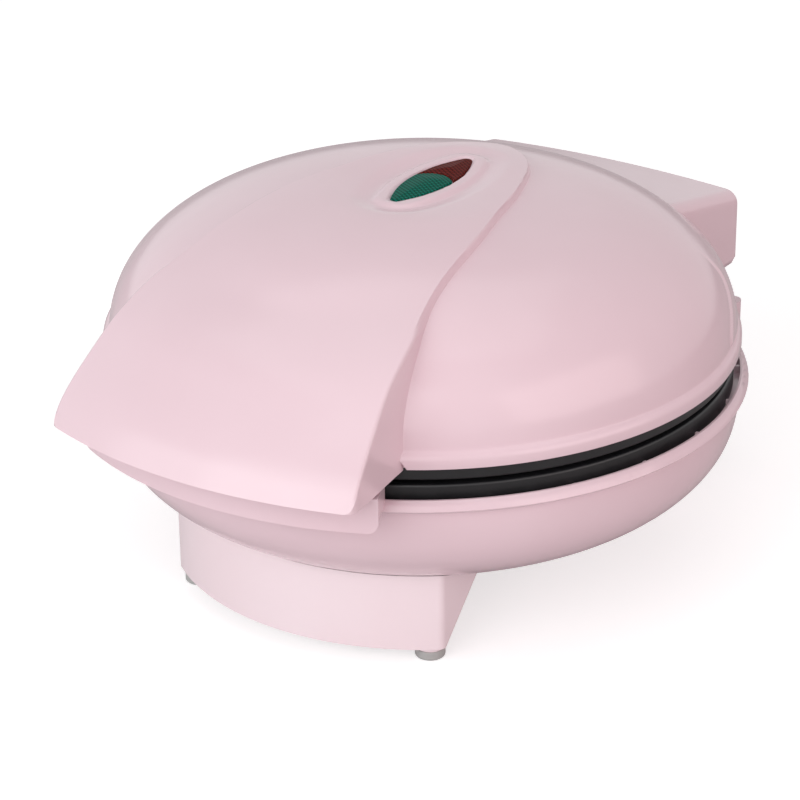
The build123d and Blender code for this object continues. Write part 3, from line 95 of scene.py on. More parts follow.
# Wing
WING_HALF, WING_Y, WING_Z = 53.6, 125.0, 73.5
WING_EDGE_Z, WING_CROWN, WING_SLOPE = 99.8, 2.2, 0.2
WING_CORNER, WING_SHOULDER = 5, 0.4     # the arch's corner and its drop there
WING_EDGE_ROUND, WING_HEEL, WING_SEATED = 1.6, 4.0, 1.4
WING_LENGTH, WING_TRIES = 85, 400       # the longest way forwards, and the steps of the search

# Seen in the photograph: the band's outline as (share of its length from the front, share of its
# half width), and the handle's slope as (share of the way to the front edge, share of its height)
BAND_EDGE = [
    (0.0, 1.0), (0.084, 0.952), (0.146, 0.914), (0.259, 0.856), (0.32, 0.809), (0.389, 0.767),
    (0.48, 0.728), (0.573, 0.681), (0.676, 0.602), (0.76, 0.539), (0.842, 0.452), (0.886, 0.393),
    (0.929, 0.313), (0.964, 0.216), (0.989, 0.108), (1.0, 0.0),
]
HANDLE_SLOPE = [
    (0.0, 1.0), (0.09, 0.994), (0.18, 0.983), (0.304, 0.944), (0.401, 0.889), (0.495, 0.823),
    (0.598, 0.738), (0.685, 0.652), (0.768, 0.543), (0.817, 0.455), (0.868, 0.357),
    (0.918, 0.256), (0.951, 0.179), (0.978, 0.097), (1.0, 0.0),
]


# Shapes, as whole arrays


def ease(value, low, high):
    """Smooth step from 0 at low to 1 at high, 3t^2 - 2t^3 between them."""
    t = np.clip((value - low) / (high - low), 0.0, 1.0)
    return t * t * (3 - 2 * t)


def spline(points, start, end, count):
    """Cubic curve through the points, its length between them as parameter, with end slopes."""
    p = np.array(points, float)
    step = np.hypot(*np.diff(p, axis=0).T)
    k = np.concatenate([[0.0], np.cumsum(step)])
    n = len(p)
    rows, right = np.zeros((n, n)), np.zeros((n, 2))
    rows[0, 0] = rows[-1, -1] = 1.0
    right[0], right[-1] = np.array(start) / np.hypot(*start), np.array(end) / np.hypot(*end)
    for i in range(1, n - 1):
        a, b = step[i - 1], step[i]
        rows[i, i - 1 : i + 2] = b, 2 * (a + b), a
        right[i] = 3 * (b * (p[i] - p[i - 1]) / a + a * (p[i + 1] - p[i]) / b)
    slope = np.linalg.solve(rows, right)
    at = np.linspace(0, k[-1], count)
    i = np.clip(np.searchsorted(k, at, side="right") - 1, 0, n - 2)
    t = ((at - k[i]) / step[i])[:, None]
    h = step[i][:, None]
    return (
        (2 * t**3 - 3 * t**2 + 1) * p[i]
        + (t**3 - 2 * t**2 + t) * h * slope[i]
        + (3 * t**2 - 2 * t**3) * p[i + 1]
        + (t**3 - t**2) * h * slope[i + 1]
    )


def dome_z(r, lift=0.0):
    """Height of the dome at a distance r: foot + rise (1 - (r / R)^side)^(1 / top), raised by lift."""
    share = np.clip(np.asarray(r) / (DOME_R + lift), 0, 1)
    return DOME_Z + (DOME_RISE + lift) * (1 - share**SIDE_POWER) ** (1 / TOP_POWER)


def band_z(r):
    """Height of the band where it lies on the dome: the dome raised, a little more away from the axis."""
    return dome_z(r, BAND_LIFT) + EDGE_LIFT * ease(r, *EDGE_LIFT_R)


slope_line = spline(HANDLE_SLOPE, (1, 0), (0.25, -1), 400)


def handle_z(x, y):
    """Height of the handle's slope: a fixed profile over the distance from the arcs' centre."""
    share = (np.hypot(x, y - ARC_Y) - HANDLE_START) / (ARC_R - HANDLE_START)
    rise = np.interp(share, slope_line[:, 0], slope_line[:, 1])
    return HANDLE_Z + (HANDLE_TOP_Z - HANDLE_Z) * rise


def oval_distance(x, y, half_length, half_width, tip):
    """Signed distance from the lenses' oval of two arcs with rounded points, negative inside."""
    arc = (half_length**2 + half_width**2) / (2 * half_width)
    offset, arc = arc - half_width, arc - tip
    point = np.sqrt(arc**2 - offset**2)
    px, py = np.abs(x), np.abs(y - LENS_Y)
    beyond = (py - point) * offset > px * point
    return np.where(beyond, np.hypot(px, py - point), np.hypot(px + offset, py) - arc) - tip


def edge_round(distance, radius):
    """How far a rounded edge falls: a quarter circle over the distance from the outline."""
    inward = np.clip(radius - distance, 0, radius)
    return radius - np.sqrt(radius**2 - inward**2)


def outline_distance(x, y, line):
    """Distance of every point from a line of points."""
    start, run = line[:-1], np.diff(line, axis=0)
    dx, dy = x[..., None] - start[:, 0], y[..., None] - start[:, 1]
    share = np.clip((dx * run[:, 0] + dy * run[:, 1]) / (run**2).sum(1), 0, 1)
    return np.hypot(dx - share * run[:, 0], dy - share * run[:, 1]).min(-1)


# Dome: a profile turned about the axis, with the lip and a faint crease before the wing


def dome_curve(angles, inset):
    """Points (r, z) of the dome's curve, (r / R)^side + ((z - foot) / rise)^top = 1, set in."""
    r = (DOME_R - inset) * np.sin(angles) ** (2 / SIDE_POWER)
    return np.stack([r, DOME_Z + (DOME_RISE - inset) * np.cos(angles) ** (2 / TOP_POWER)], 1)


# from the top down the outside, under the lip and up the inside
quarter = np.linspace(0, np.pi / 2, 130)[:-2]
outer = dome_curve(quarter, 0)
outer = outer[outer[:, 1] > LID_Z + 6.6]
groove = np.array([[DOME_R - 0.05, LID_Z + 5.75], [DOME_R + 0.02, LID_Z + 5.5]])
turn = np.linspace(radians(68), 0, 9)
lip = LIP_ROUND * np.stack([np.cos(turn), np.sin(turn)], 1) + [LID_R - LIP_ROUND, LID_Z + LIP_RISE]
foot = np.array([[LID_R, LID_Z + 0.5], [LID_R - 0.15, LID_Z + 0.15], [LID_R - 0.5, LID_Z]])
ledge = np.array(
    [[LID_R - 1.8, LID_Z], [LID_R - 1.8, LID_Z + LIP_RISE], [DOME_R - WALL, LID_Z + LIP_RISE]]
)
inner = dome_curve(quarter[::-3], WALL)
under_top = [[0, DOME_Z + DOME_RISE - WALL]]
profile = np.concatenate([outer, groove, lip, foot, ledge, inner, under_top])


def away_from(angle, middle):
    """Degrees between an angle in radians and a middle in degrees, the shorter way round."""
    return np.abs((np.degrees(angle) - middle + 180) % 360 - 180)


def dome_surface():
    """Profile (r, z) turned through a full circle, x = r cos a and y = r sin a.

    Behind a line that climbs backwards it stands out. It is sunk around the lenses, where the band
    covers it, and its lip ends higher under the handle and the wing.
    """
    fine = np.arange(15.0, 31.0, 0.3)   # closer steps where the crease line crosses
    angle = np.radians(np.unique(np.concatenate([np.arange(0.0, 360.0, 1.0), fine, 180 - fine])))
    r, z = profile[:, :1] + 0 * angle, profile[:, 1:] + 0 * angle
    from_rear = away_from(angle, 90)
    line = CREASE_ANGLE - CREASE_TURN * ease(z, *CREASE_CLIMB)
    raised = ease(line - from_rear, -0.5, 0.5) * (1 - ease(z, *CREASE_GONE))
    on_dome = (np.arange(len(profile)) < len(outer))[:, None]
    r = r + CREASE_STEP * raised * on_dome
    x, y = r * np.cos(angle), r * np.sin(angle)
    covered = 1 - ease(oval_distance(x, y, *SUNK_OVAL), -2.0, 2.0)
    z = z - SUNK * on_dome * covered
    hidden = (away_from(angle, -90) < HANDLE_SPAN) | (from_rear < WING_SPAN)
    z = np.where(hidden, np.maximum(z, LID_Z + HIDDEN_RISE), z)
    return np.stack([x, y, z], -1)


# Band and handle: a grid from the front edge to the round tip, with walls that widen downwards

front_y = HANDLE_SAG - HANDLE_REACH
edge_points = [(HANDLE_HALF * w, front_y + s * (TIP_Y - front_y)) for s, w in BAND_EDGE]
edge_line = spline(edge_points, (-0.19, 1), (-1, 0), 900)


def band_surface():
    """Edge x_e(s), y_e(s); x = u x_e and y = y_e - sag (x_e / half)^2 (1 - u^2), u from -1 to 1.

    The top is the higher of raised dome and handle slope, blended. Where it stands little above the
    dome it falls to it in a chamfer along the edge; where it stands high, walls go down from the edge
    and lean outwards. Around the lenses it dips a little and rises to a low oval boss.
    """
    q = np.linspace(0, 1, 185)
    share = 0.7 * q + 0.3 * (1 - np.cos(np.pi * q)) / 2     # closer steps near both ends
    rows = share * (len(edge_line) - 1)
    low = rows.astype(int).clip(0, len(edge_line) - 2)
    part = (rows - low)[:, None]
    edge = edge_line[low] * (1 - part) + edge_line[low + 1] * part
    sag = HANDLE_SAG * (edge[:, :1] / HANDLE_HALF) ** 2
    edge[:, 0] -= edge_round(edge[:, 1] - edge[0, 1], CORNER_ROUND)
    p = np.linspace(-1, 1, 161)
    u = 0.45 * p + 0.55 * np.sin(np.pi / 2 * p)     # closer steps near both edges
    x_edge, y_edge = edge[:, :1], edge[:, 1:]
    x = x_edge * u
    y = y_edge - sag * (1 - u**2)
    on_arc = ARC_Y - np.sqrt(ARC_R**2 - x[0] ** 2)
    y = y + (on_arc - y[0]) * (1 - np.clip((y_edge - y_edge[0]) / CORNER_ROUND, 0, 1))
    inside = outline_distance(np.abs(x), y, edge)
    r = np.hypot(x, y)
    plain = dome_z(r) - OUTSIDE_FALL * np.clip(r - DOME_R, 0, None)
    lifted = band_z(r) - OUTSIDE_FALL * np.clip(r - DOME_R - BAND_LIFT, 0, None)
    # before its start the slope is kept 3 mm under the band, where it changes nothing
    slope = np.where(np.hypot(x, y - ARC_Y) < HANDLE_START, lifted - 3, handle_z(x, y))
    top = 0.5 * (lifted + slope + np.sqrt((lifted - slope) ** 2 + BLEND))
    boss_size = LENS_HALF_LENGTH + BOSS_LENGTH, LENS_HALF_WIDTH + BOSS_WIDTH, BOSS_TIP
    boss = oval_distance(x, y, *boss_size)
    top = top - DIP * (1 - ease(boss, *DIP_REACH)) + BOSS_RISE * (1 - ease(boss, *BOSS_EDGE))
    well = oval_distance(x, y, LENS_HALF_LENGTH, LENS_HALF_WIDTH, LENS_TIP)
    top = top - WELL_DEPTH * (1 - ease(well, *WELL_EDGE))
    height = top - plain
    high = ease(height, *CHAMFER_GONE)
    ramp = np.clip((inside - CHAMFER_START) / CHAMFER, 0, 1)
    chamfer = 0.8 * ramp + 0.2 * ramp * ramp * (3 - 2 * ramp)   # nearly straight, soft at its ends
    z = plain + height * (chamfer * (1 - high) + high)
    fade = np.clip((z - HANDLE_Z) / EDGE_ROUND_RISE, 0, 1)
    z = z - edge_round(inside, EDGE_ROUND) * fade
    # outward direction in plan along both edges
    along = np.gradient(x, axis=0)[:, [0, -1]], np.gradient(y, axis=0)[:, [0, -1]]
    length = np.hypot(*along)
    out_x = along[1] / length * [-1, 1]
    out_y = -along[0] / length * [-1, 1]
    x_end, y_end, z_end = x[:, [0, -1]], y[:, [0, -1]], z[:, [0, -1]]
    r_end = np.hypot(x_end, y_end)
    foot_z = np.minimum(np.where(r_end < DOME_R - 0.2, dome_z(r_end) - SEATED, HANDLE_Z), z_end)
    walls = []
    for down in WALL_STEPS:
        wall_z = z_end + (foot_z - z_end) * down
        lean = DRAFT * (z_end - wall_z)
        walls.append(np.stack([x_end + out_x * lean, y_end + out_y * lean, wall_z], -1))
    back_in = walls[0] - np.stack([out_x, out_y, 0 * out_x], -1) * RETURN
    walls = np.stack([back_in] + walls, 1)
    whole = np.concatenate([walls[:, :, 0], np.stack([x, y, z], -1), walls[:, ::-1, 1]], 1)
    # the front edge turns in towards the arc's centre
    front = whole[:1] + 0.0
    towards = np.array([0, ARC_Y]) - front[..., :2]
    front[..., :2] += RETURN * towards / np.linalg.norm(towards, axis=-1, keepdims=True)
    front[..., 2] = HANDLE_Z
    return np.concatenate([front, whole])


# Wing: an arch on the rear face, drawn forwards and up until it meets the dome

corner = np.linspace(0, np.pi / 2, 12)
corner_x = WING_HALF - WING_CORNER + WING_CORNER * np.cos(corner)
corner_z = WING_EDGE_Z - (WING_CORNER - WING_SHOULDER) + WING_CORNER * np.sin(corner)
side_z = np.linspace(0, 1, 26)[:-1] ** 0.8 * (corner_z[0] - WING_Z) + WING_Z
top_x = np.linspace(WING_HALF - WING_CORNER, 0, 26)[1:]
bow = 1 - (top_x / (WING_HALF - WING_CORNER)) ** 2
top_z = WING_EDGE_Z + WING_SHOULDER + (WING_CROWN - WING_SHOULDER) * bow
half_arch = np.concatenate(
    [
        np.stack([0 * side_z + WING_HALF, side_z], 1),
        np.stack([corner_x, corner_z], 1),
        np.stack([top_x, top_z], 1),
    ]
)
arch = np.concatenate([half_arch * [-1, 1], half_arch[-2::-1]])


def wing_surface():
    """Rear face as rays x = t a_x, z = foot + t (a_z - foot) to the arch a, rounded at its edge.

    Then the arch forwards: going forwards by f raises it by the slope times f, fully at its top and
    not at its foot. Each line ends just inside the dome.
    """
    near_edge = [0.93, 0.95, 0.965, 0.975, 0.985, 0.992, 0.997, 1.0]
    ray = np.concatenate([np.linspace(0, 0.9, 12), near_edge])[:, None]
    x, z = arch[:, 0] * ray, WING_Z + (arch[:, 1] - WING_Z) * ray
    inside = (1 - ray) * np.hypot(arch[:, 0], arch[:, 1] - WING_Z)
    inside = np.minimum(inside, WING_HALF - np.abs(x))
    heel = edge_round(z - WING_Z, WING_HEEL)
    y = WING_Y - np.maximum(edge_round(inside, WING_EDGE_ROUND), heel)
    # how far forwards each line goes until it is inside the dome, or inside the lip below it
    forward = np.linspace(0, WING_LENGTH, WING_TRIES)[:, None]
    share = np.clip((arch[:, 1] - WING_Z) / (WING_EDGE_Z - WING_CORNER - WING_Z), 0, 1)
    edge_y = y[-1]
    at_z = arch[:, 1] + WING_SLOPE * forward * share
    r = np.hypot(arch[:, 0], edge_y - forward)
    high = np.clip((at_z - DOME_Z) / DOME_RISE, 0, 1)
    limit = DOME_R * (1 - high**TOP_POWER) ** (1 / SIDE_POWER) - WING_SEATED
    limit = np.where(at_z < LID_Z + LIP_TOP, LIP_INSIDE, limit)
    limit = np.where(at_z < LID_Z, LID_R - 0.1, limit)
    end = np.argmax(r < limit, axis=0) * WING_LENGTH / (WING_TRIES - 1)
    steps = np.linspace(0, 1, 30)[1:, None] * end
    sides = np.stack(
        [arch[:, 0] + 0 * steps, edge_y - steps, arch[:, 1] + WING_SLOPE * steps * share], -1
    )
    return np.concatenate([np.stack([x, y, z], -1), sides])


# Lenses: crowned pillows in one pointed oval, the green one in front, its round end against the red one


def lens_surface(front):
    """Half width x_e(y) of the oval; the grid x = u x_e runs from its tip to the round split.

    The top follows the band, a little above it, and falls in a quarter circle at its rim.
    """
    arc = (LENS_HALF_LENGTH**2 + LENS_HALF_WIDTH**2) / (2 * LENS_HALF_WIDTH)
    offset = arc - LENS_HALF_WIDTH
    point = np.sqrt((arc - LENS_TIP) ** 2 - offset**2)
    reach = point + LENS_TIP
    along = -reach * np.cos(np.pi * np.linspace(0, 1, 70))
    join = point * arc / (arc - LENS_TIP)   # where an arc meets a rounded point
    width = np.where(
        np.abs(along) < join,
        np.sqrt(np.maximum(arc**2 - along**2, 0)) - offset,
        np.sqrt(np.maximum(LENS_TIP**2 - (np.abs(along) - point) ** 2, 0)),
    )
    y_line, width = along + LENS_Y, np.maximum(width, 1e-6)
    centre = SPLIT_Y - SPLIT_R
    u = np.sin(np.linspace(-1, 1, 61) * np.pi / 2)
    # the split crosses the outline behind its own centre, so places before it count as far off
    cross = np.argmin(np.abs(np.hypot(width, y_line - centre) - SPLIT_R) + 50 * (y_line < centre))
    x_split, y_split = width[cross], y_line[cross]
    s = (1 - np.cos(np.pi * np.linspace(0, 1, 56)[:, None])) / 2
    tip_y = y_line[0] if front else y_line[-1]
    round_r = SPLIT_R + (0 if front else SPLIT_GAP)
    y_edge = tip_y + (y_split - tip_y) * s
    x_edge = np.interp(y_edge, y_line, width)
    bulge = np.sqrt(round_r**2 - (x_split * u) ** 2) + centre - y_split
    x, y = x_edge * u, y_edge + bulge * s**3 + 0 * u
    split_far = np.abs(np.hypot(x, y - centre) - round_r) + 50 * (y < centre)
    rim_far = -oval_distance(x, y, LENS_HALF_LENGTH, LENS_HALF_WIDTH, LENS_TIP)
    inside = np.clip(np.minimum(rim_far, split_far), 0, None)
    top = np.minimum(band_z(np.hypot(x, y)) + LENS_PROUD, LENS_TOP_Z)
    crown = LENS_CROWN * (1 - ease(inside, 0, LENS_CROWN_REACH))
    return np.stack([x, y, top - edge_round(inside, LENS_ROUND) - crown], -1)


# Materials

DRIFT, GRAIN, RIPPLE = 22.0, 160.0, 420.0   # noises per metre: one every 45, 6 and 2.4 mm
METAL_GRAIN = 300.0                         # one every 3.3 mm; the real one is too fine to show
NOISE_LOW, NOISE_HIGH = 0.3, 0.7            # what a noise really spans
RIPPLE_M, METAL_BUMP_M, PRISM_M = 0.00002, 0.00003, 0.00008     # heights in metres
PRISM_WAVE = 2 * np.pi / (20 * 0.0013)      # a prism every 1.3 mm; a wave's phase is 20 times its place
PRISM_TURN = radians(58.0)                  # of the two sets of prisms, left and right


def colour(text):
    """Linear RGBA of an sRGB hex colour."""
    values = [int(text[i : i + 2], 16) / 255 for i in (0, 2, 4)]
    return [v / 12.92 if v <= 0.04045 else ((v + 0.055) / 1.055) ** 2.4 for v in values] + [1.0]


def set_inputs(tree, node, inputs):
    """Links each input to a socket, or sets it to a value."""
    for key, value in inputs.items():
        if isinstance(value, bpy.types.NodeSocket):
            tree.links.new(value, node.inputs[key])
        else:
            node.inputs[key].default_value = value


def add_node(tree, kind, inputs=(), stops=(), **settings):
    """Adds a shader node and sets its properties, its colour stops and its inputs."""
    made = tree.nodes.new(kind)
    for key, value in settings.items():
        setattr(made, key, value)
    for i, (position, tone) in enumerate(stops):
        made.color_ramp.elements[i].position = position
        made.color_ramp.elements[i].color = colour(tone)
    set_inputs(tree, made, dict(inputs))
    return made


def new_material(name):
    """Material with nodes; returns it, its tree and its Principled shader."""
    made = bpy.data.materials.new(name)
    made.use_nodes = True
    tree = made.node_tree
    return made, tree, tree.nodes["Principled BSDF"]


def smooth_finish(name, dark, light, rough, gloss_coat=0.0, ripple=0.25):
    """Moulded plastic, rubber, glass or a coating: its colour and polish drift over a fine ripple."""
    made, tree, shader = new_material(name)
    place = add_node(tree, "ShaderNodeTexCoord").outputs["Object"]
    noises = [
        add_node(tree, "ShaderNodeTexNoise", {"Vector": place, "Scale": scale, "Detail": detail})
        for scale, detail in ((DRIFT, 2.0), (GRAIN, 4.0), (RIPPLE, 2.0))
    ]
    drift, grain, wave = [noise.outputs["Fac"] for noise in noises]
    stops = [(NOISE_LOW, dark), (NOISE_HIGH, light)]
    tone = add_node(tree, "ShaderNodeValToRGB", {"Fac": drift}, stops)
    span = {"From Min": NOISE_LOW, "From Max": NOISE_HIGH, "To Min": rough * 0.9, "To Max": rough * 1.12}
    polish = add_node(tree, "ShaderNodeMapRange", {"Value": grain, **span})
    bump = add_node(tree, "ShaderNodeBump", {"Height": wave, "Distance": RIPPLE_M, "Strength": ripple})
    finish = {
        "Base Color": tone.outputs["Color"],
        "Roughness": polish.outputs["Result"],
        "Normal": bump.outputs["Normal"],
        "IOR": 1.5,
        "Coat Weight": gloss_coat,
        "Coat Roughness": 0.06,
    }
    set_inputs(tree, shader, finish)
    return made


def metal(name, dark, light, rough):
    """Bare metal with a fine grain in its colour and its roughness."""
    made, tree, shader = new_material(name)
    place = add_node(tree, "ShaderNodeTexCoord").outputs["Object"]
    look = {"Vector": place, "Scale": METAL_GRAIN, "Detail": 5.0, "Roughness": 0.6}
    grain = add_node(tree, "ShaderNodeTexNoise", look).outputs["Fac"]
    stops = [(NOISE_LOW, dark), (NOISE_HIGH, light)]
    tone = add_node(tree, "ShaderNodeValToRGB", {"Fac": grain}, stops)
    span = {"From Min": NOISE_LOW, "From Max": NOISE_HIGH, "To Min": rough * 0.8, "To Max": rough * 1.25}
    polish = add_node(tree, "ShaderNodeMapRange", {"Value": grain, **span})
    bump = add_node(tree, "ShaderNodeBump", {"Height": grain, "Distance": METAL_BUMP_M, "Strength": 0.3})
    finish = {
        "Base Color": tone.outputs["Color"],
        "Roughness": polish.outputs["Result"],
        "Normal": bump.outputs["Normal"],
        "Metallic": 1.0,
    }
    set_inputs(tree, shader, finish)
    return made


def prism_plastic(name, dark, light):
    """Tinted polycarbonate with small diamond prisms under a polished face.

    The prisms are the product of two waves that cross. They give the bump, and the colour paints their
    glints: dark between them, bright where both waves are high.
    """
    made, tree, shader = new_material(name)
    place = add_node(tree, "ShaderNodeTexCoord").outputs["Object"]
    waves = []
    for angle in (PRISM_TURN, -PRISM_TURN):
        turned = add_node(tree, "ShaderNodeMapping", {"Vector": place, "Rotation": (0.0, 0.0, angle)})
        wave = add_node(
            tree,
            "ShaderNodeTexWave",
            {"Vector": turned.outputs["Vector"], "Scale": PRISM_WAVE, "Distortion": 0.0},
            wave_type="BANDS",
            bands_direction="X",
            wave_profile="SIN",
        )
        waves.append(wave.outputs["Fac"])
    crossed = add_node(tree, "ShaderNodeMath", {0: waves[0], 1: waves[1]}, operation="MULTIPLY")
    prism_cells_and_glints = crossed.outputs["Value"]
    # painted glints of the prisms: dark, bright where both waves are high
    tone = add_node(tree, "ShaderNodeValToRGB", {"Fac": prism_cells_and_glints}, [(0.05, dark), (0.4, light)])
    bump = add_node(tree, "ShaderNodeBump", {"Height": prism_cells_and_glints, "Distance": PRISM_M, "Strength": 0.4})
    finish = {
        "Base Color": tone.outputs["Color"],
        "Normal": bump.outputs["Normal"],
        "Roughness": 0.35,
        "IOR": 1.58,
        "Specular IOR Level": 0.01,
    }
    set_inputs(tree, shader, finish)
    return made


finishes = {
    # Glossy moulded ABS: an even, pale pink with wide, clear highlights
    "pink_plastic": smooth_finish("pink_gloss_plastic", "EACFD7", "EDD3DB", 0.18),
    # Non-stick coating sprayed on cast aluminium: near black, with a dull, slightly pebbled sheen
    "nonstick_aluminium": smooth_finish("black_nonstick_coating", "111214", "1A1B1D", 0.42, 0.0, 1.0),
    # Steel tube that has been hot: dull and brownish
    "element_steel": metal("oxidised_steel", "6B625A", "8A8178", 0.45),
    # Rolled aluminium sheet: the brightest metal here, with blurred reflections
    "shield_aluminium": metal("bright_aluminium", "C9CBCE", "DADBDD", 0.28),
    # Zinc-plated steel of the screws and clips: a cool, even grey
    "plated_steel": metal("zinc_plated_steel", "A9ACAE", "C2C4C6", 0.30),
    # Drawn steel of the hinge pins: a little darker, with sharper reflections
    "pin_steel": metal("drawn_steel", "9DA0A3", "B9BBBE", 0.22),
    # Moulded silicone rubber: pale grey with a faint, wide sheen
    "foot_rubber": smooth_finish("translucent_grey_rubber", "A9A9A8", "BDBDBB", 0.45, 0.0, 0.6),
    # Tinted polycarbonate, moulded with prisms: dark, with a fine net of brighter diamonds that are
    # painted glints of the prisms
    "green_lens": prism_plastic("green_tinted_polycarbonate", "0B473B", "187866"),
    "red_lens": prism_plastic("red_tinted_polycarbonate", "421512", "752823"),
    # Blown glass of the lamps: warm, with sharp highlights
    "lamp_glass": smooth_finish("clear_bulb_glass", "E8C8A8", "F2D8BC", 0.08, 0.3),
    # Moulded polyamide of the lamp holder and the terminals: off-white and cream, satin
    "holder_plastic": smooth_finish("white_satin_plastic", "DEDEDA", "E8E8E4", 0.4),
    "terminal_plastic": smooth_finish("cream_satin_plastic", "D6D2C6", "E2DED2", 0.4),
    # Pressed phenolic resin: black, satin
    "thermostat_body": smooth_finish("black_phenolic_resin", "141414", "1E1E1E", 0.35),
    # Moulded polyamide of the bush in the rear wall: a duller pink than the housing
    "bush_plastic": smooth_finish("pale_satin_plastic", "D9C3C8", "E2CDD2", 0.4),
}
finishes["fuse_can"] = finishes["shield_aluminium"]
# Satin moulded ABS with wider highlights; its paler colour is painted light, a lit copy of the glossy
# pink for the stands' bright fronts
stand_plastic_painted_light = smooth_finish("pink_satin_plastic_painted_light", "F7E5EA", "F9E9EE", 0.24)

slots = {part["node"]: part["material_slot"] for part in frame["record"]["subparts"]}
for node, slot in slots.items():
    item = frame["nodes"][node]
    item.data.materials.clear()
    item.data.materials.append(finishes[slot])
# the stands get the paler pink, which has painted light in its colour
for node in ("front_stand", "rear_stand"):
    frame["nodes"][node].data.materials[0] = stand_plastic_painted_light

# Pieces of the lid that stand in for its solids

MERGE_M, SLIVER_M = 1.5e-5, 4e-6            # distances in metres under which points become one
SHARP = radians(38)                         # steeper edges than this stay sharp


def surface_piece(name, node, places, closed=(False, False), wall=0.0, lowest=0.0):
    """Mesh of a grid of points in millimetres, with the node's finish, in the node's place on the lid.

    Each row or column can close on itself. Doubles are merged before a wall grows inwards, and
    points under the lowest height are raised to it.
    """
    rows, columns = places.shape[:2]
    points = places.reshape(-1, 3) * 0.001 + [0, AXIS_Y * 0.001, 0]
    index = np.arange(rows * columns).reshape(rows, columns)
    for axis in (0, 1):
        if closed[axis]:
            index = np.concatenate([index, index.take([0], axis)], axis)
    corners = [index[:-1, :-1], index[1:, :-1], index[1:, 1:], index[:-1, 1:]]
    mesh = bpy.data.meshes.new(name)
    mesh.from_pydata(points.tolist(), [], np.stack(corners, -1).reshape(-1, 4).tolist())
    work = bmesh.new()
    work.from_mesh(mesh)
    bmesh.ops.remove_doubles(work, verts=work.verts, dist=MERGE_M)
    bmesh.ops.dissolve_degenerate(work, dist=SLIVER_M, edges=work.edges)
    bmesh.ops.recalc_face_normals(work, faces=work.faces)
    up_normal = sum(f.normal.z * f.calc_area() for f in work.faces)
    if wall and up_normal < 0:
        bmesh.ops.reverse_faces(work, faces=work.faces)
    work.to_mesh(mesh)
    work.free()
    mesh.polygons.foreach_set("use_smooth", [True] * len(mesh.polygons))
    mesh.set_sharp_from_angle(angle=SHARP)
    mesh.materials.append(finishes[slots[node]])
    piece = bpy.data.objects.new(name, mesh)
    bpy.context.scene.collection.objects.link(piece)
    if wall:
        thickness = piece.modifiers.new("wall", "SOLIDIFY")
        thickness.thickness = wall * 0.001
        thickness.offset = -1.0
    if lowest:
        drawn = piece.evaluated_get(bpy.context.evaluated_depsgraph_get())
        walled = bpy.data.meshes.new_from_object(drawn)
        piece.modifiers.clear()
        piece.data = walled
        flat = np.empty(3 * len(walled.vertices), np.float32)
        walled.vertices.foreach_get("co", flat)
        flat[2::3] = np.maximum(flat[2::3], lowest * 0.001)
        walled.vertices.foreach_set("co", flat)
        walled.update()
    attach(piece, "lid")
    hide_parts(node)


surface_piece("lid_dome", "lid_cover", dome_surface(), closed=(True, True))
surface_piece("handle_band", "lid_cover", band_surface(), wall=WALL, lowest=HANDLE_Z)
surface_piece("rear_wing", "lid_cover", wing_surface(), wall=WALL)
surface_piece("green_window", "green_lens", lens_surface(True), wall=LENS_WALL)
surface_piece("red_window", "red_lens", lens_surface(False), wall=LENS_WALL)

# Camera, at the photograph's angle, distance and lens; millimetres, pixels and degrees

azimuth, elevation, roll = radians(34.213), radians(24.942), radians(-0.63)
distance, shift_x, aim_z = 1000.7, -7.788, 52.929
focal_px, photo_px, sensor = 2924.33, 800, 36.0
back = np.array([sin(azimuth) * cos(elevation), -cos(azimuth) * cos(elevation), sin(elevation)])
right = np.array([cos(azimuth), sin(azimuth), 0.0])
up = np.cross(back, right)
aim = right * shift_x + [0, AXIS_Y, aim_z]
right, up = right * cos(roll) + up * sin(roll), up * cos(roll) - right * sin(roll)
scene = bpy.context.scene
camera = bpy.data.objects.new("camera", bpy.data.cameras.new("camera"))
scene.collection.objects.link(camera)
camera.data.sensor_width = sensor
camera.data.lens = focal_px / photo_px * sensor
camera.data.clip_start, camera.data.clip_end = 0.05, 20.0
turn = Matrix([right, up, back]).transposed()
camera.matrix_world = Matrix.Translation(Vector((aim + back * distance) / 1000)) @ turn.to_4x4()
scene.camera = camera

# Studio: a white floor, white all round, and four soft lights: two in front, one at the right, one above

FLOOR_HALF, FLOOR_GLOW, SKY_LIGHT = 6.0, 0.62, 0.3
LIT_PLACE = Vector((0.0, 0.0, 0.06))        # the part's middle, in metres

scene.view_settings.view_transform = "Standard"

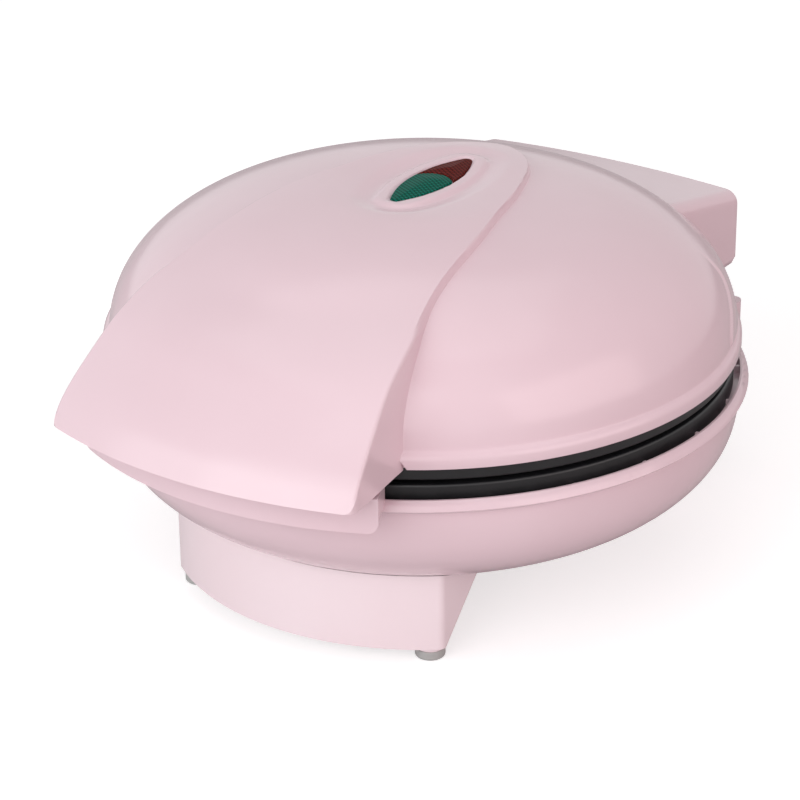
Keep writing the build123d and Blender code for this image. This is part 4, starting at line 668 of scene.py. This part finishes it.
# Matt white paper: no highlights, only soft shadows; the glow is seen by the camera but lights nothing
paper, tree, shader = new_material("matt_white_paper")
set_inputs(tree, shader, {"Base Color": colour("D2D1D1"), "Roughness": 0.9})
glow = add_node(tree, "ShaderNodeEmission", {"Color": colour("FFFFFF"), "Strength": FLOOR_GLOW})
lit = add_node(tree, "ShaderNodeAddShader", {0: shader.outputs["BSDF"], 1: glow.outputs["Emission"]})
seen = add_node(tree, "ShaderNodeLightPath").outputs["Is Camera Ray"]
shown = {0: seen, 1: shader.outputs["BSDF"], 2: lit.outputs["Shader"]}
mix = add_node(tree, "ShaderNodeMixShader", shown)
set_inputs(tree, tree.nodes["Material Output"], {"Surface": mix.outputs["Shader"]})
floor_mesh = bpy.data.meshes.new("floor")
corners = [(x * FLOOR_HALF, y * FLOOR_HALF, TABLE_Z) for x, y in ((-1, -1), (1, -1), (1, 1), (-1, 1))]
floor_mesh.from_pydata(corners, [], [(0, 1, 2, 3)])
floor_mesh.materials.append(paper)
floor = bpy.data.objects.new("floor", floor_mesh)
scene.collection.objects.link(floor)

# The surroundings look white to the camera and in reflections, and light the part only weakly
world = bpy.data.worlds.new("studio")
scene.world = world
world.use_nodes = True
sky = world.node_tree
dim = sky.nodes["Background"]
set_inputs(sky, dim, {"Color": colour("F6F3F4"), "Strength": SKY_LIGHT})
white = add_node(sky, "ShaderNodeBackground", {"Color": colour("FFFFFF"), "Strength": 1.0})
rays = add_node(sky, "ShaderNodeLightPath").outputs
seen = rays["Is Camera Ray"]
for other in ("Is Glossy Ray", "Is Transmission Ray"):
    either = add_node(sky, "ShaderNodeMath", {0: seen, 1: rays[other]}, operation="MAXIMUM")
    seen = either.outputs["Value"]
shown = {0: seen, 1: dim.outputs["Background"], 2: white.outputs["Background"]}
mix = add_node(sky, "ShaderNodeMixShader", shown)
set_inputs(sky, sky.nodes["World Output"], {"Surface": mix.outputs["Shader"]})


def soft_light(name, place, size, power, tint=(1.0, 1.0, 1.0)):
    """Rectangular area light turned to the part's middle; metres and watts."""
    lamp = bpy.data.lights.new(name, "AREA")
    lamp.shape = "RECTANGLE"
    lamp.size, lamp.size_y = size
    lamp.energy = power
    lamp.color = tint
    made = bpy.data.objects.new(name, lamp)
    made.location = place
    made.rotation_euler = (LIT_PLACE - Vector(place)).to_track_quat("-Z", "Y").to_euler()
    scene.collection.objects.link(made)


soft_light("key_light", (0.1, -1.7, 0.9), (2.2, 1.6), 15.0)
soft_light("low_light", (-0.5, -1.8, 0.7), (2.8, 1.3), 13.0)
soft_light("right_light", (1.8, 0.0, 0.7), (1.8, 1.2), 10.6, (1.0, 0.78, 0.78))
soft_light("top_light", (-0.1, 0.1, 1.8), (1.8, 1.8), 6.8)
